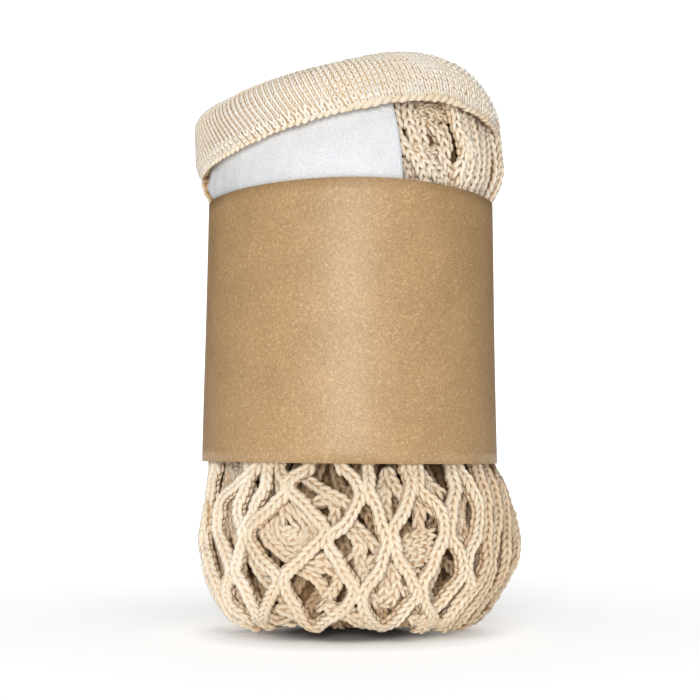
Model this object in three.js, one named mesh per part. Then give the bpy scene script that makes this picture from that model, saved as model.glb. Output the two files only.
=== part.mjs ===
// A knitted net shopper bag, folded, rolled up and held by a paper sleeve, standing on end.
// Millimetres, +Z up, the front towards -Y. The origin is on the floor, under the middle of the roll.
import * as THREE from "three";

// Driving dimensions
const STRAND_DEPTH = 4.2; // thickness of the outer layer of net
const STRAND_SHOULDER = 1.3; // how far a strand rounds off towards its gap
const COLUMNS = 16; // diamond gaps around the roll
const FIRST_COLUMN_DEG = 1; // where the first column of knots stands, from the front
const PIECE_GAP = 0.5; // clearance between pieces that lie on each other
const LABEL_THICK = 1.0;
const STRAP_THICK = 2.2;
const BAND_THICK = 3.0;
const HEM_THICK = 3.5; // the cast-off edge of the rim band is a thicker bead
const SLEEVE_THICK = 0.6;
const SLEEVE_BOTTOM = 48.1;
const SLEEVE_TOP = 125.6;
const SLEEVE_SQUEEZE = 0.5; // how far the sleeve presses the cloth under it thinner
const PINCH_HEIGHT = 124; // where the sleeve's upper edge draws the roll in
const LOWER_PINCH = 47.6; // and where its lower edge does
const ROLL_TURNS = 3;
const ROLL_GAP = 0.9; // clearance between the rolled layers and the net around them
const ROLL_BASE = STRAND_DEPTH + 0.9;

// Outer face of the net, from the rim band down the side and in under the base.
// left, right, front and back are the half widths at that height.
const NET_FACE = [
  { height: 152, left: 41.0, right: 33.0, front: 39.6, back: 40.4 },
  { height: 146, left: 41.8, right: 35.6, front: 40.2, back: 40.8 },
  { height: 141, left: 42.0, right: 38.0, front: 40.6, back: 41.0 },
  { height: 132, left: 41.6, right: 39.0, front: 40.4, back: 40.8 },
  { height: PINCH_HEIGHT, left: 40.5, right: 36.4, front: 39.0, back: 39.6 },
  { height: 110, left: 40.8, right: 36.6, front: 39.3, back: 39.8 },
  { height: 85, left: 41.6, right: 37.8, front: 40.2, back: 40.8 },
  { height: 58, left: 42.9, right: 39.2, front: 41.2, back: 41.6 },
  { height: LOWER_PINCH, left: 43.4, right: 40.0, front: 41.8, back: 42.2 },
  { height: 42, left: 43.9, right: 44.2, front: 44.6, back: 44.6 },
  { height: 34, left: 45.1, right: 46.3, front: 46.3, back: 45.9 },
  { height: 26, left: 46.0, right: 47.7, front: 47.0, back: 46.4 },
  { height: 19, left: 45.2, right: 47.2, front: 46.4, back: 45.9 },
  { height: 12.5, left: 43.4, right: 44.8, front: 44.4, back: 44.0 },
  { height: 5.5, left: 40.4, right: 40.8, front: 41.0, back: 40.6 },
  { height: 1.2, left: 35.5, right: 35.5, front: 35.5, back: 35.0 },
  { height: 0, left: 28.5, right: 28.5, front: 28.5, back: 28.0 },
  { height: 0, left: 18.0, right: 18.0, front: 18.0, back: 18.0 },
];
const ROW_OF_58 = 7; // below this row the table's rows are the half steps of the net

// Rim band, knitted in one piece with the bag's mouth and turned down over the top of the roll.
// hem is the height of its lower edge, crest the top of the fold, lean how far the crest lies in
// from the band's face, shoulder the height of that rounding, standoff the room under the band for
// what it covers, and tuck how far the hem lies in from the band's face.
const RIM_BAND = [
  { angle: -180, hem: 129.0, crest: 148.6, lean: 7, shoulder: 7, standoff: 1.1, tuck: 0.4 },
  { angle: -150, hem: 129.0, crest: 148.2, lean: 6, shoulder: 6.5, standoff: 1.1, tuck: 0.4 },
  { angle: -120, hem: 128.8, crest: 148.4, lean: 5, shoulder: 5.5, standoff: 1.9, tuck: 0.8 },
  { angle: -95, hem: 129.0, crest: 149.2, lean: 3.5, shoulder: 4.5, standoff: 2.6, tuck: 1.9 },
  { angle: -80, hem: 130.7, crest: 150.0, lean: 4.5, shoulder: 5, standoff: 2.6, tuck: 1.6 },
  { angle: -55, hem: 134.2, crest: 151.8, lean: 6, shoulder: 6, standoff: 2.6, tuck: 1.4 },
  { angle: -37, hem: 138.1, crest: 153.8, lean: 6.5, shoulder: 6.5, standoff: 2.8, tuck: 1.2 },
  { angle: -24, hem: 140.0, crest: 155.6, lean: 7, shoulder: 7, standoff: 3.0, tuck: 1.0 },
  { angle: -10, hem: 142.3, crest: 157.6, lean: 7.5, shoulder: 7.5, standoff: 3.0, tuck: 1.0 },
  { angle: 0, hem: 143.8, crest: 159.2, lean: 8, shoulder: 8, standoff: 3.0, tuck: 1.0 },
  { angle: 14, hem: 145.6, crest: 161.3, lean: 9, shoulder: 8.5, standoff: 3.0, tuck: 1.0 },
  { angle: 27, hem: 146.8, crest: 162.0, lean: 8.5, shoulder: 8, standoff: 3.2, tuck: 0.8 },
  { angle: 38, hem: 147.2, crest: 161.2, lean: 8, shoulder: 7.5, standoff: 3.6, tuck: 0.6 },
  { angle: 52, hem: 145.6, crest: 159.4, lean: 7.5, shoulder: 8, standoff: 3.7, tuck: 0.6 },
  { angle: 67, hem: 144.1, crest: 156.4, lean: 8.5, shoulder: 8, standoff: 3.7, tuck: 0.6 },
  { angle: 76, hem: 143.0, crest: 154.4, lean: 9.5, shoulder: 8, standoff: 3.7, tuck: 0.6 },
  { angle: 84, hem: 133.0, crest: 152.8, lean: 9.5, shoulder: 10, standoff: 2.3, tuck: 0.6 },
  { angle: 92, hem: 129.4, crest: 151.6, lean: 9.5, shoulder: 10.5, standoff: 2.1, tuck: 0.4 },
  { angle: 120, hem: 129.2, crest: 150.2, lean: 8, shoulder: 9, standoff: 1.6, tuck: 0.4 },
  { angle: 150, hem: 129.0, crest: 149.2, lean: 7.5, shoulder: 8, standoff: 1.1, tuck: 0.4 },
  { angle: 180, hem: 129.0, crest: 148.6, lean: 7, shoulder: 7, standoff: 1.1, tuck: 0.4 },
];
const BAND_RETURN = 8; // from the crest in to the leg that hangs inside the roll
const BAND_INNER_LEG = 11;
const BAND_STEPS = 48;
const BAND_FACE_HEIGHT = 141; // where the net under the band is widest, or at the hem if that is higher

// Rolled layers above the sleeve, where they stand inside the turned-down rim.
const ROLL_NECK = [
  { height: 134, left: 31.5, right: 20.8, front: 26.2, back: 25.8 },
  { height: 145, left: 31.0, right: 20.5, front: 26.0, back: 25.5 },
];
const ROLL_CORE = 0.1; // where the spiral starts, as a share of the half width
const ROLL_WALL = 0.86; // thickness of a layer, as a share of the space between turns
const ROLL_STEPS_PER_TURN = 24;
const ROLL_RAMP = 0.25; // share of each turn in which the cloth climbs onto the turn before
const ROLL_TOP_ROUND = 2.5;

const LABEL = { from: -78, to: 14, slant: 3, bottom: 112, under_band: 6, steps: 22 };
const STRAP = { from: 42, to: 75, slant: 0, bottom: 108, under_band: 5, steps: 12 };

const STRIP_RISE = [0, 0.2, 0.4, 0.6, 0.8, 1]; // rows of a strip, from the pinch to its top

const SLEEVE = [
  { height: SLEEVE_BOTTOM, left: 44.95, right: 41.3, front: 43.3, back: 43.7 },
  { height: 87, left: 43.9, right: 40.7, front: 42.3, back: 42.8 },
  { height: SLEEVE_TOP, left: 43.1, right: 40.2, front: 41.8, back: 41.9 },
];
const SLEEVE_STEPS = 72;
const OVERLAP = { from: 150, to: 175, ramp: 5 }; // degrees, where the glued end lies on the other

const KNIT = new THREE.MeshStandardMaterial({ color: "#e6d5ba", roughness: 0.95, metalness: 0 });
const COTTON = new THREE.MeshStandardMaterial({ color: "#eceef0", roughness: 0.9, metalness: 0 });
const KRAFT = new THREE.MeshStandardMaterial({ color: "#c39a68", roughness: 0.85, metalness: 0 });

const SIDES = ["left", "right", "front", "back"];

const lerp = THREE.MathUtils.lerp;

// A row between two rows of a table, with every column blended.
function blendRows(a, b, share) {
  const row = {};
  Object.keys(a).forEach((column) => {
    row[column] = lerp(a[column], b[column], share);
  });
  return row;
}

// The row of a table at a value of one column, whose values rise or fall all the way.
function rowAt(table, column, value) {
  const rising = table[table.length - 1][column] > table[0][column];
  const next = table.findIndex((row) => (rising ? row[column] >= value : row[column] <= value));
  if (next <= 0) return next === 0 ? table[0] : table[table.length - 1];
  const [a, b] = [table[next - 1], table[next]];
  return blendRows(a, b, (value - a[column]) / (b[column] - a[column]));
}

// A point of an oval section. The angle runs from the front towards the right.
function ovalPoint(row, degrees, lift = 0) {
  const angle = THREE.MathUtils.degToRad(degrees);
  const [across, forward] = [Math.sin(angle), Math.cos(angle)];
  const wide = (across > 0 ? row.right : row.left) + lift;
  const deep = (forward > 0 ? row.front : row.back) + lift;
  return new THREE.Vector3(wide * across, -deep * forward, row.height);
}

// A point outside the net's face at a height on the side of the roll.
function onNet(height, degrees, lift) {
  return ovalPoint({ ...rowAt(NET_FACE, "height", height), height }, degrees, lift);
}

const wrapDegrees = (degrees) => THREE.MathUtils.euclideanModulo(degrees + 180, 360) - 180;
const bandAt = (degrees) => rowAt(RIM_BAND, "angle", wrapDegrees(degrees));

// A closed geometry from points and triangles, turned so that its faces point out.
function solid(points, triangles) {
  const volume = triangles.reduce((sum, [a, b, c]) => {
    const across = new THREE.Vector3().crossVectors(points[b], points[c]);
    return sum + points[a].dot(across);
  }, 0);
  const facing = volume < 0 ? triangles.map(([a, b, c]) => [a, c, b]) : triangles;
  const geometry = new THREE.BufferGeometry().setFromPoints(points);
  geometry.setIndex(facing.flat());
  geometry.computeVertexNormals();
  return geometry;
}

// A solid through rings of points, joined end to end or closed across its first and last ring.
// A ring runs up one face of a wall and back down the other.
function loft(rings, joined) {
  const size = rings[0].length;
  const points = rings.flat();
  const triangles = [];
  const spans = joined ? rings.length : rings.length - 1;
  for (let i = 0; i < spans; i++) {
    const [near, far] = [i * size, ((i + 1) % rings.length) * size];
    for (let j = 0; j < size; j++) {
      const next = (j + 1) % size;
      triangles.push([near + j, near + next, far + next], [near + j, far + next, far + j]);
    }
  }
  if (!joined) {
    [0, (rings.length - 1) * size].forEach((first) => {
      for (let j = 0; j < size - 2 - j; j++) {
        const [a, b, c, d] = [j, j + 1, size - 2 - j, size - 1 - j].map((step) => first + step);
        const faces = b === c ? [[a, b, d]] : [[a, b, d], [b, c, d]];
        triangles.push(...faces.map((face) => (first ? face : face.toReversed())));
      }
    });
  }
  return solid(points, triangles);
}

// Outer net: a lattice of strands with a diamond gap between each four knots.
// Rows and columns are counted in half steps: knots stand on even rows, on every other column.
const FIXED_ROWS = [PINCH_HEIGHT, 117, 110, 98, 85, 71.5]; // rows behind the sleeve
const FREE_ROWS = 2; // the top edge, and a row halfway from it to the pinch
const LOWER_START = FREE_ROWS + FIXED_ROWS.length;
const LAST_ROW = LOWER_START + NET_FACE.length - 1 - ROW_OF_58;
const FIRST_OPEN_ROW = LOWER_START; // cells centred on this row and below are open
const UPPER_OPEN = { row: 2, from: 17, to: 40 }; // the gap that shows above the sleeve
const GAP_SHARE = { corner: 0.66, side: 0.73 }; // of the way from a gap's middle to its strands
const NET_UNDER_BAND = 8; // how far the net reaches up behind the hem
const WANDER = 0.13; // how far knots stray sideways, in half columns

function netRow(row, degrees) {
  const band = bandAt(degrees);
  const top_edge = Math.min(band.crest - band.shoulder - 1.8, band.hem + NET_UNDER_BAND);
  if (row >= LOWER_START) return NET_FACE[ROW_OF_58 + row - LOWER_START];
  const free = lerp(top_edge, PINCH_HEIGHT, row / FREE_ROWS);
  const height = row < FREE_ROWS ? free : FIXED_ROWS[row - FREE_ROWS];
  return { ...rowAt(NET_FACE, "height", height), height };
}

function netDegrees(column, row) {
  const loose = row >= LOWER_START && row < LAST_ROW - 2;
  const stray = loose ? WANDER * Math.sin(2.3 * column + 1.9 * row) : 0;
  return FIRST_COLUMN_DEG + ((column + stray) * 180) / COLUMNS;
}

// The face's outward normal, from the neighbouring columns and the rows above and below.
function netNormal(column, row) {
  const angle = netDegrees(column, row);
  const [above, below] = [Math.max(Math.floor(row - 1), 0), Math.min(Math.ceil(row + 1), LAST_ROW)];
  const side = ovalPoint(netRow(row, angle), angle + 2).sub(ovalPoint(netRow(row, angle), angle - 2));
  const rise = ovalPoint(netRow(above, angle), angle).sub(ovalPoint(netRow(below, angle), angle));
  return side.cross(rise).normalize();
}

function outerNet() {
  const points = [];
  const triangles = [];
  const known = new Map();
  const turn = 2 * COLUMNS;

  // The index of a point on a strand, or a share of the way to it from the middle of its gap.
  function pointAt(column, row, depth, middle = null, share = 1) {
    const key = [THREE.MathUtils.euclideanModulo(column, turn), row, depth, middle, share].join();
    if (!known.has(key)) {
      const angle = netDegrees(column, row);
      const place = ovalPoint(netRow(row, angle), angle);
      if (middle) {
        const centre = netDegrees(middle.column, middle.row);
        place.lerp(ovalPoint(netRow(middle.row, centre), centre), 1 - share);
      }
      const inward = row > LAST_ROW - 3 ? new THREE.Vector3(0, 0, -1) : netNormal(column, row);
      known.set(key, points.push(place.addScaledVector(inward, -depth)) - 1);
    }
    return known.get(key);
  }

  // The eight points around a cell: four knots, and the middles of the four strands between them.
  const around = (column, row) => [
    { column, row: row - 2, corner: true },
    { column: column + 0.5, row: row - 1 },
    { column: column + 1, row, corner: true },
    { column: column + 0.5, row: row + 1 },
    { column, row: row + 2, corner: true },
    { column: column - 0.5, row: row + 1 },
    { column: column - 1, row, corner: true },
    { column: column - 0.5, row: row - 1 },
  ];

  function isOpen(column, row) {
    if (row >= FIRST_OPEN_ROW) return true;
    const angle = wrapDegrees(netDegrees(column, row));
    return row === UPPER_OPEN.row && angle > UPPER_OPEN.from && angle < UPPER_OPEN.to;
  }

  function quad(a, b, c, d) {
    triangles.push([a, b, c], [a, c, d]);
  }

  function openCell(column, row) {
    const middle = { column, row };
    middle.toString = () => `${THREE.MathUtils.euclideanModulo(column, turn)}/${row}`;
    const loops = around(column, row).map((spot) => {
      const share = spot.corner ? GAP_SHARE.corner : GAP_SHARE.side;
      const rim = (depth) => pointAt(spot.column, spot.row, depth, middle, share);
      return [
        pointAt(spot.column, spot.row, 0),
        rim(STRAND_SHOULDER),
        rim(STRAND_DEPTH - STRAND_SHOULDER),
        pointAt(spot.column, spot.row, STRAND_DEPTH),
      ];
    });
    loops.forEach((loop, i) => {
      const next = loops[(i + 1) % loops.length];
      for (let k = 0; k < 3; k++) quad(next[k], next[k + 1], loop[k + 1], loop[k]);
    });
  }

  function closedCell(column, row) {
    const spots = around(column, row).filter((spot) => spot.row >= 0 && spot.row <= LAST_ROW);
    const whole = spots.length === 8;
    [0, STRAND_DEPTH].forEach((depth) => {
      const centre = pointAt(column, row, depth);
      const ring = spots.map((spot) => pointAt(spot.column, spot.row, depth));
      ring.forEach((point, i) => {
        const next = (i + 1) % ring.length;
        const across_edge = !whole && spots[i].row === row && spots[next].row === row;
        if (across_edge) return;
        triangles.push(depth ? [centre, ring[next], point] : [centre, point, ring[next]]);
      });
    });
  }

  for (let row = 0; row <= LAST_ROW; row += 2) {
    for (let column = (row / 2) % 2; column < turn; column += 2) {
      if (row > 0 && row < LAST_ROW && isOpen(column, row)) openCell(column, row);
      else closedCell(column, row);
    }
  }
  const foot = [0, STRAND_DEPTH].map((height) => points.push(new THREE.Vector3(0, 0, height)) - 1);
  for (let column = 0; column < turn; column++) {
    const rim = (step, row, depth) => pointAt(column + step, row, depth);
    quad(rim(0, 0, 0), rim(0, 0, STRAND_DEPTH), rim(1, 0, STRAND_DEPTH), rim(1, 0, 0));
    triangles.push([rim(0, LAST_ROW, 0), rim(1, LAST_ROW, 0), foot[0]]);
    triangles.push([rim(1, LAST_ROW, STRAND_DEPTH), rim(0, LAST_ROW, STRAND_DEPTH), foot[1]]);
  }
  return solid(points, triangles);
}

// The inner layers: one long wall wound in a spiral, widening to the net and necking in at the top.
function rolledLayers() {
  const narrowed = (row, lift) => {
    const sized = { ...row };
    SIDES.forEach((side) => (sized[side] -= STRAND_DEPTH + ROLL_GAP + lift));
    return sized;
  };
  const onSide = (height, lift) => narrowed({ ...rowAt(NET_FACE, "height", height), height }, lift);
  const [shoulder, top] = ROLL_NECK;
  const crown = { ...top, height: top.height + ROLL_TOP_ROUND };
  const sections = [
    onSide(ROLL_BASE, 9),
    onSide(10.5, 1.6),
    onSide(24, 0),
    onSide(39, 1.6),
    onSide(LOWER_PINCH, 0.7),
    onSide(PINCH_HEIGHT, 0.3),
    onSide(129, 1),
    shoulder,
    top,
    crown,
  ];
  const steps = (ROLL_TURNS - ROLL_RAMP) * ROLL_STEPS_PER_TURN;
  const pitch = (1 - ROLL_CORE) / (ROLL_TURNS - 1 + ROLL_WALL);
  const rings = [];
  for (let i = 0; i <= steps; i++) {
    const turns = i / ROLL_STEPS_PER_TURN;
    const angle = 180 + turns * 360;
    const climb = Math.max(((turns % 1) - (1 - ROLL_RAMP)) / ROLL_RAMP, 0);
    const inside = ROLL_CORE + pitch * (Math.floor(turns) + climb);
    const outside = inside + pitch * ROLL_WALL;
    const rim = (inside + outside) / 2;
    const at = (row, share) => {
      const place = ovalPoint(row, angle);
      return new THREE.Vector3(place.x * share, place.y * share, row.height);
    };
    const walls = sections.slice(0, -1);
    const ring = walls.map((row) => at(row, outside));
    ring.push(at(crown, rim));
    walls.reverse().forEach((row) => ring.push(at(row, inside)));
    rings.push(ring);
  }
  return loft(rings, false);
}

// The rim band's wall in section: hem, face, rounded shoulder, crest, and the leg inside the roll.
function bandSection(degrees) {
  const band = bandAt(degrees);
  const face_height = Math.max(BAND_FACE_HEIGHT, band.hem);
  const face = onNet(face_height, degrees, band.standoff + BAND_THICK / 2);
  const radius = Math.hypot(face.x, face.y);
  const out = new THREE.Vector3(face.x / radius, face.y / radius, 0);
  const arc = (share) => {
    const angle = (share * Math.PI) / 2;
    return [band.lean * (1 - Math.cos(angle)), band.crest - band.shoulder * (1 - Math.sin(angle))];
  };
  const crest = [band.lean, band.crest];
  const middle = BAND_THICK / 2;
  const path = [
    { inset: band.tuck, height: band.hem + 0.4, thick: HEM_THICK * 0.6 },
    { inset: band.tuck * 0.6, height: band.hem + 2, thick: HEM_THICK },
    { inset: band.tuck * 0.2, height: band.hem + 4, thick: BAND_THICK },
    ...[0, 0.35, 0.7].map((share) => ({ inset: arc(share)[0], height: arc(share)[1], thick: BAND_THICK })),
    { inset: crest[0], height: crest[1], thick: BAND_THICK },
    { inset: crest[0] + BAND_RETURN * 0.75, height: crest[1] - 2, thick: BAND_THICK },
    { inset: crest[0] + BAND_RETURN, height: crest[1] - 5.5, thick: BAND_THICK },
    { inset: crest[0] + BAND_RETURN, height: crest[1] - BAND_INNER_LEG, thick: BAND_THICK * 0.7 },
  ];
  const offset = (spot, i, side) => {
    const [before, after] = [path[Math.max(i - 1, 0)], path[Math.min(i + 1, path.length - 1)]];
    const run = [after.inset - before.inset, after.height - before.height];
    const length = Math.hypot(...run);
    const inset = spot.inset - (side * spot.thick * 0.5 * run[1]) / length;
    const height = spot.height + (side * spot.thick * 0.5 * run[0]) / length - middle;
    return face.clone().addScaledVector(out, -inset).setZ(height);
  };
  const outer = path.map((spot, i) => offset(spot, i, 1));
  const inner = path.map((spot, i) => offset(spot, i, -1));
  return [...outer, ...inner.reverse()];
}

function rimBand() {
  const rings = [];
  for (let i = 0; i < BAND_STEPS; i++) rings.push(bandSection(-180 + (i * 360) / BAND_STEPS));
  return loft(rings, true);
}

// A strip of cloth lying on the net, from under the sleeve up under the rim band.
function strip(size, thick) {
  const rings = [];
  for (let i = 0; i <= size.steps; i++) {
    const share = i / size.steps;
    const edge = lerp(size.from, size.to, share);
    const band = bandAt(edge);
    const top = band.hem + size.under_band;
    const heights = [size.bottom, 119, ...STRIP_RISE.map((rise) => lerp(PINCH_HEIGHT, top, rise))];
    const at = (height, lift) => {
      const lean = size.slant * share * ((top - height) / (top - size.bottom));
      return onNet(height, edge + lean, lift);
    };
    const pressed = (height) => (height < SLEEVE_TOP ? SLEEVE_SQUEEZE : 1);
    const outer = heights.map((height) => at(height, PIECE_GAP + thick * pressed(height)));
    const inner = heights.map((height) => at(height, PIECE_GAP));
    rings.push([...outer, ...inner.reverse()]);
  }
  return loft(rings, false);
}

// The paper sleeve: a ring whose glued end lies one thickness proud of the rest.
function paperSleeve() {
  const lift = (degrees) => {
    if (degrees < OVERLAP.from || degrees > OVERLAP.to) return 0;
    return SLEEVE_THICK * Math.min((degrees - OVERLAP.from) / OVERLAP.ramp, 1);
  };
  const angles = [];
  for (let i = 0; i < SLEEVE_STEPS; i++) angles.push(-180 + (i * 360) / SLEEVE_STEPS);
  angles.push(OVERLAP.to + 0.3);
  angles.sort((a, b) => a - b);
  const rings = angles.map((degrees) => {
    const outer = SLEEVE.map((row) => ovalPoint(row, degrees, lift(degrees)));
    const inner = SLEEVE.map((row) => ovalPoint(row, degrees, -SLEEVE_THICK));
    return [...outer, ...inner.reverse()];
  });
  return loft(rings, true);
}

function piece(name, geometry, material) {
  const mesh = new THREE.Mesh(geometry, material);
  mesh.name = name;
  return mesh;
}

const bag = new THREE.Group();
bag.add(
  piece("outer_net", outerNet(), KNIT),
  piece("rolled_layers", rolledLayers(), KNIT),
  piece("rim_band", rimBand(), KNIT),
  piece("knit_strap", strip(STRAP, STRAP_THICK), KNIT),
  piece("cloth_label", strip(LABEL, LABEL_THICK), COTTON),
  piece("paper_sleeve", paperSleeve(), KRAFT),
);

export default bag;
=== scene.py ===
# %% [markdown]
# # A rolled net shopper, knitted stitch by stitch
# The object is a cotton net bag that has been folded, rolled and stood on end, with a paper sleeve
# around its middle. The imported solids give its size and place. Here each solid is dressed in what
# the real one is made of: cords of knitted yarn, a knitted rim, a woven label and brown paper.

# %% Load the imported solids
import math

import bpy
import numpy as np
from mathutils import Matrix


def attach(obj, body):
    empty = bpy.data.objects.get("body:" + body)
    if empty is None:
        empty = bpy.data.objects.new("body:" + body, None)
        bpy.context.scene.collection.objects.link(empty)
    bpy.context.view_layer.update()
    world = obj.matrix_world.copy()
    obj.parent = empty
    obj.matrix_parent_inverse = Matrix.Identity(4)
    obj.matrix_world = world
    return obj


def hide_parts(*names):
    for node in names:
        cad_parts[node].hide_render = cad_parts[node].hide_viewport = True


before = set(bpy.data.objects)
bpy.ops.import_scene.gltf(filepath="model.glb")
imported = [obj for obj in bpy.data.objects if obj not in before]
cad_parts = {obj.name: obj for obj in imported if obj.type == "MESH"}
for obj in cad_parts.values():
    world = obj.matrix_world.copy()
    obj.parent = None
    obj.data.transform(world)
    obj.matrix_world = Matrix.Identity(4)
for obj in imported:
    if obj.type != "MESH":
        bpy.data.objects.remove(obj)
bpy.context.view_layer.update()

MM = 0.001  # the roll's sizes are in millimetres; meshes, lights and the floor are in metres
print("solids:", sorted(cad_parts))

# %% [markdown]
# ## The camera
# The photograph looks at the roll from a little below its middle, from half a metre away, through a
# long lens. A long lens keeps the sleeve's edges nearly straight, so its length matters more than
# its distance: it is set from the frame's width in pixels, and the tilt puts the roll in the frame.

# %% Camera
FRAME_PIXELS = 700
FOCAL_PIXELS = 1700
SENSOR_WIDTH = 36.0
VIEW_POINT = np.array((-1.765, -500.0, 52.6))
VIEW_TILT = 3.26  # degrees above level
scene = bpy.context.scene
camera_data = bpy.data.cameras.new("camera")
camera_data.sensor_width = SENSOR_WIDTH
camera_data.lens = FOCAL_PIXELS / FRAME_PIXELS * SENSOR_WIDTH
camera_data.clip_start = 0.01
camera = bpy.data.objects.new("camera", camera_data)
camera.location = VIEW_POINT * MM
camera.rotation_euler = (math.radians(90 + VIEW_TILT), 0, 0)
scene.collection.objects.link(camera)
scene.camera = camera
print("lens:", round(camera_data.lens, 1), "mm")

# %% [markdown]
# ## Light
# The picture is a bright studio shot: a broad soft light from the front and above, and sides that fall
# off into a warm shade. Lamps without a size would draw hard shadows, and a bright sky would light the
# sides as much as the front. So two area lights do the work, and the sky adds only a trace.

# %% Lights
SKY_LIGHT = 0.05
scene.view_settings.view_transform = "Standard"


def area_light(name, place, aim, size, power):
    lamp = bpy.data.lights.new(name, "AREA")
    lamp.shape = "RECTANGLE"
    lamp.size, lamp.size_y = size
    lamp.energy = power
    holder = bpy.data.objects.new(name, lamp)
    holder.location = place
    away = np.array(place) - np.array(aim)
    flat = math.hypot(away[0], away[1])
    holder.rotation_euler = (math.atan2(flat, away[2]), 0, math.atan2(away[1], away[0]) + math.pi / 2)
    scene.collection.objects.link(holder)


area_light("front_light", place=(-0.12, -1.35, 0.24), aim=(0, 0, 0.08), size=(0.45, 0.5), power=12.5)
area_light("top_light", place=(0.03, -0.4, 1.1), aim=(0, 0, 0.05), size=(0.6, 0.6), power=4.0)
sky = bpy.data.worlds.new("studio")
scene.world = sky
sky.use_nodes = True
sky.node_tree.nodes["Background"].inputs["Color"].default_value = (1, 1, 1, 1)
sky.node_tree.nodes["Background"].inputs["Strength"].default_value = SKY_LIGHT

# %% [markdown]
# ## Floor and wall
# The roll stands on white without an edge. Two planes would show a line where they meet, so floor and
# wall are one sheet with a quarter circle between them. A studio floor is lit until it turns pure
# white a short way from the object. Here its paint glows a little, and more with the distance, so that
# the shadow at the foot of the roll stays.

# %% Floor and wall
WALL_WIDTH = 0.55
FLOOR_FRONT = -0.4
WALL_BEND = 0.5
WALL_START = 1.2
WALL_TOP = 1.0


def sweep_profile():
    bend = [
        (WALL_START + WALL_BEND * math.sin(a), WALL_BEND * (1 - math.cos(a)))
        for a in np.linspace(0, math.pi / 2, 13)
    ]
    return [(FLOOR_FRONT, 0.0), *bend, (WALL_START + WALL_BEND, WALL_TOP)]


profile = sweep_profile()
corners = [(x, y, z) for y, z in profile for x in (-WALL_WIDTH, WALL_WIDTH)]
panels = [(2 * i, 2 * i + 1, 2 * i + 3, 2 * i + 2) for i in range(len(profile) - 1)]
floor_mesh = bpy.data.meshes.new("floor")
floor_mesh.from_pydata(corners, [], panels)
floor_mesh.polygons.foreach_set("use_smooth", [True] * len(panels))
floor = bpy.data.objects.new("floor", floor_mesh)
scene.collection.objects.link(floor)
print("floor panels:", len(panels))

# %% Floor paint
FLOOR_GREY = 0.74
GLOW_MIDDLE = (-0.0025, -0.016, 0)  # the glow grows with the distance from here
GLOW_RISES = [(0.016, 0.046, 0.57), (0.06, 0.6, 0.5)]  # where each rise starts and ends, and its strength
floor_paint = bpy.data.materials.new("floor_paint")
floor_paint.use_nodes = True
paint_nodes, paint_links = floor_paint.node_tree.nodes, floor_paint.node_tree.links
paint = paint_nodes["Principled BSDF"].inputs
paint["Base Color"].default_value = (*[FLOOR_GREY] * 3, 1)
paint["Roughness"].default_value = 0.9
paint["Specular IOR Level"].default_value = 0.1
paint["Emission Color"].default_value = (1, 1, 1, 1)
floor_reach = paint_nodes.new("ShaderNodeVectorMath")
floor_reach.operation = "DISTANCE"
floor_reach.inputs[1].default_value = GLOW_MIDDLE
paint_links.new(paint_nodes.new("ShaderNodeTexCoord").outputs["Object"], floor_reach.inputs[0])
glow = paint_nodes.new("ShaderNodeMath")
for socket, (near, far, strength) in zip(glow.inputs, GLOW_RISES):
    rise = paint_nodes.new("ShaderNodeMapRange")
    rise.inputs["From Min"].default_value = near
    rise.inputs["From Max"].default_value = far
    rise.inputs["To Max"].default_value = strength
    paint_links.new(floor_reach.outputs["Value"], rise.inputs["Value"])
    paint_links.new(rise.outputs["Result"], socket)
paint_links.new(glow.outputs["Value"], paint["Emission Strength"])
floor_mesh.materials.append(floor_paint)
print(floor.name, "finish:", floor_paint.name)

# %% [markdown]
# ## The roll's measures
# The cords have to lie where the solids are, so the table that shaped the net's solid is repeated
# here: its outer face from top to base. A section of the roll is an oval with its own half width on
# each side, because the real one isn't quite round. A place on the net is then a row of the table, an
# angle and a depth, and that is handier for laying cords than points in space.

# %% Table of the net's face
HEIGHT, LEFT, RIGHT, FRONT, BACK = range(5)
NET_FACE = np.array([
    # height, left, right, front, back
    (152.0, 41.0, 33.0, 39.6, 40.4),
    (146.0, 41.8, 35.6, 40.2, 40.8),
    (141.0, 42.0, 38.0, 40.6, 41.0),
    (132.0, 41.6, 39.0, 40.4, 40.8),
    (124.0, 40.5, 36.4, 39.0, 39.6),
    (110.0, 40.8, 36.6, 39.3, 39.8),
    (85.0, 41.6, 37.8, 40.2, 40.8),
    (58.0, 42.9, 39.2, 41.2, 41.6),
    (47.6, 43.4, 40.0, 41.8, 42.2),
    (42.0, 43.9, 44.2, 44.6, 44.6),
    (34.0, 45.1, 46.3, 46.3, 45.9),
    (26.0, 46.0, 47.7, 47.0, 46.4),
    (19.0, 45.2, 47.2, 46.4, 45.9),
    (12.5, 43.4, 43.8, 44.4, 44.0),
    (5.5, 40.4, 39.4, 41.0, 40.6),
    (1.2, 35.5, 35.5, 35.5, 35.0),
    (0.0, 28.5, 28.5, 28.5, 28.0),
    (0.0, 18.0, 18.0, 18.0, 18.0),
])
print("rows of the net's table:", len(NET_FACE))

# %% Places on the net


def smoothed(values, reach):
    """Averages each row of an evenly spaced table with its neighbours, in a bell-shaped window."""
    window = np.exp(-0.5 * np.linspace(-2, 2, 2 * reach + 1) ** 2)
    padded = np.concatenate([np.repeat(values[:1], reach, 0), values, np.repeat(values[-1:], reach, 0)])
    rows = [np.convolve(column, window / window.sum(), "valid") for column in padded.T]
    return np.stack(rows, axis=1)


FINE = 16  # rows of the smoothed table for each row of the measured one
fine_rows = np.linspace(0, len(NET_FACE) - 1, FINE * (len(NET_FACE) - 1) + 1)
NET_FINE = np.stack([np.interp(fine_rows, np.arange(len(NET_FACE)), c) for c in NET_FACE.T], axis=1)
NET_FINE = smoothed(NET_FINE, FINE // 2)


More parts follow.
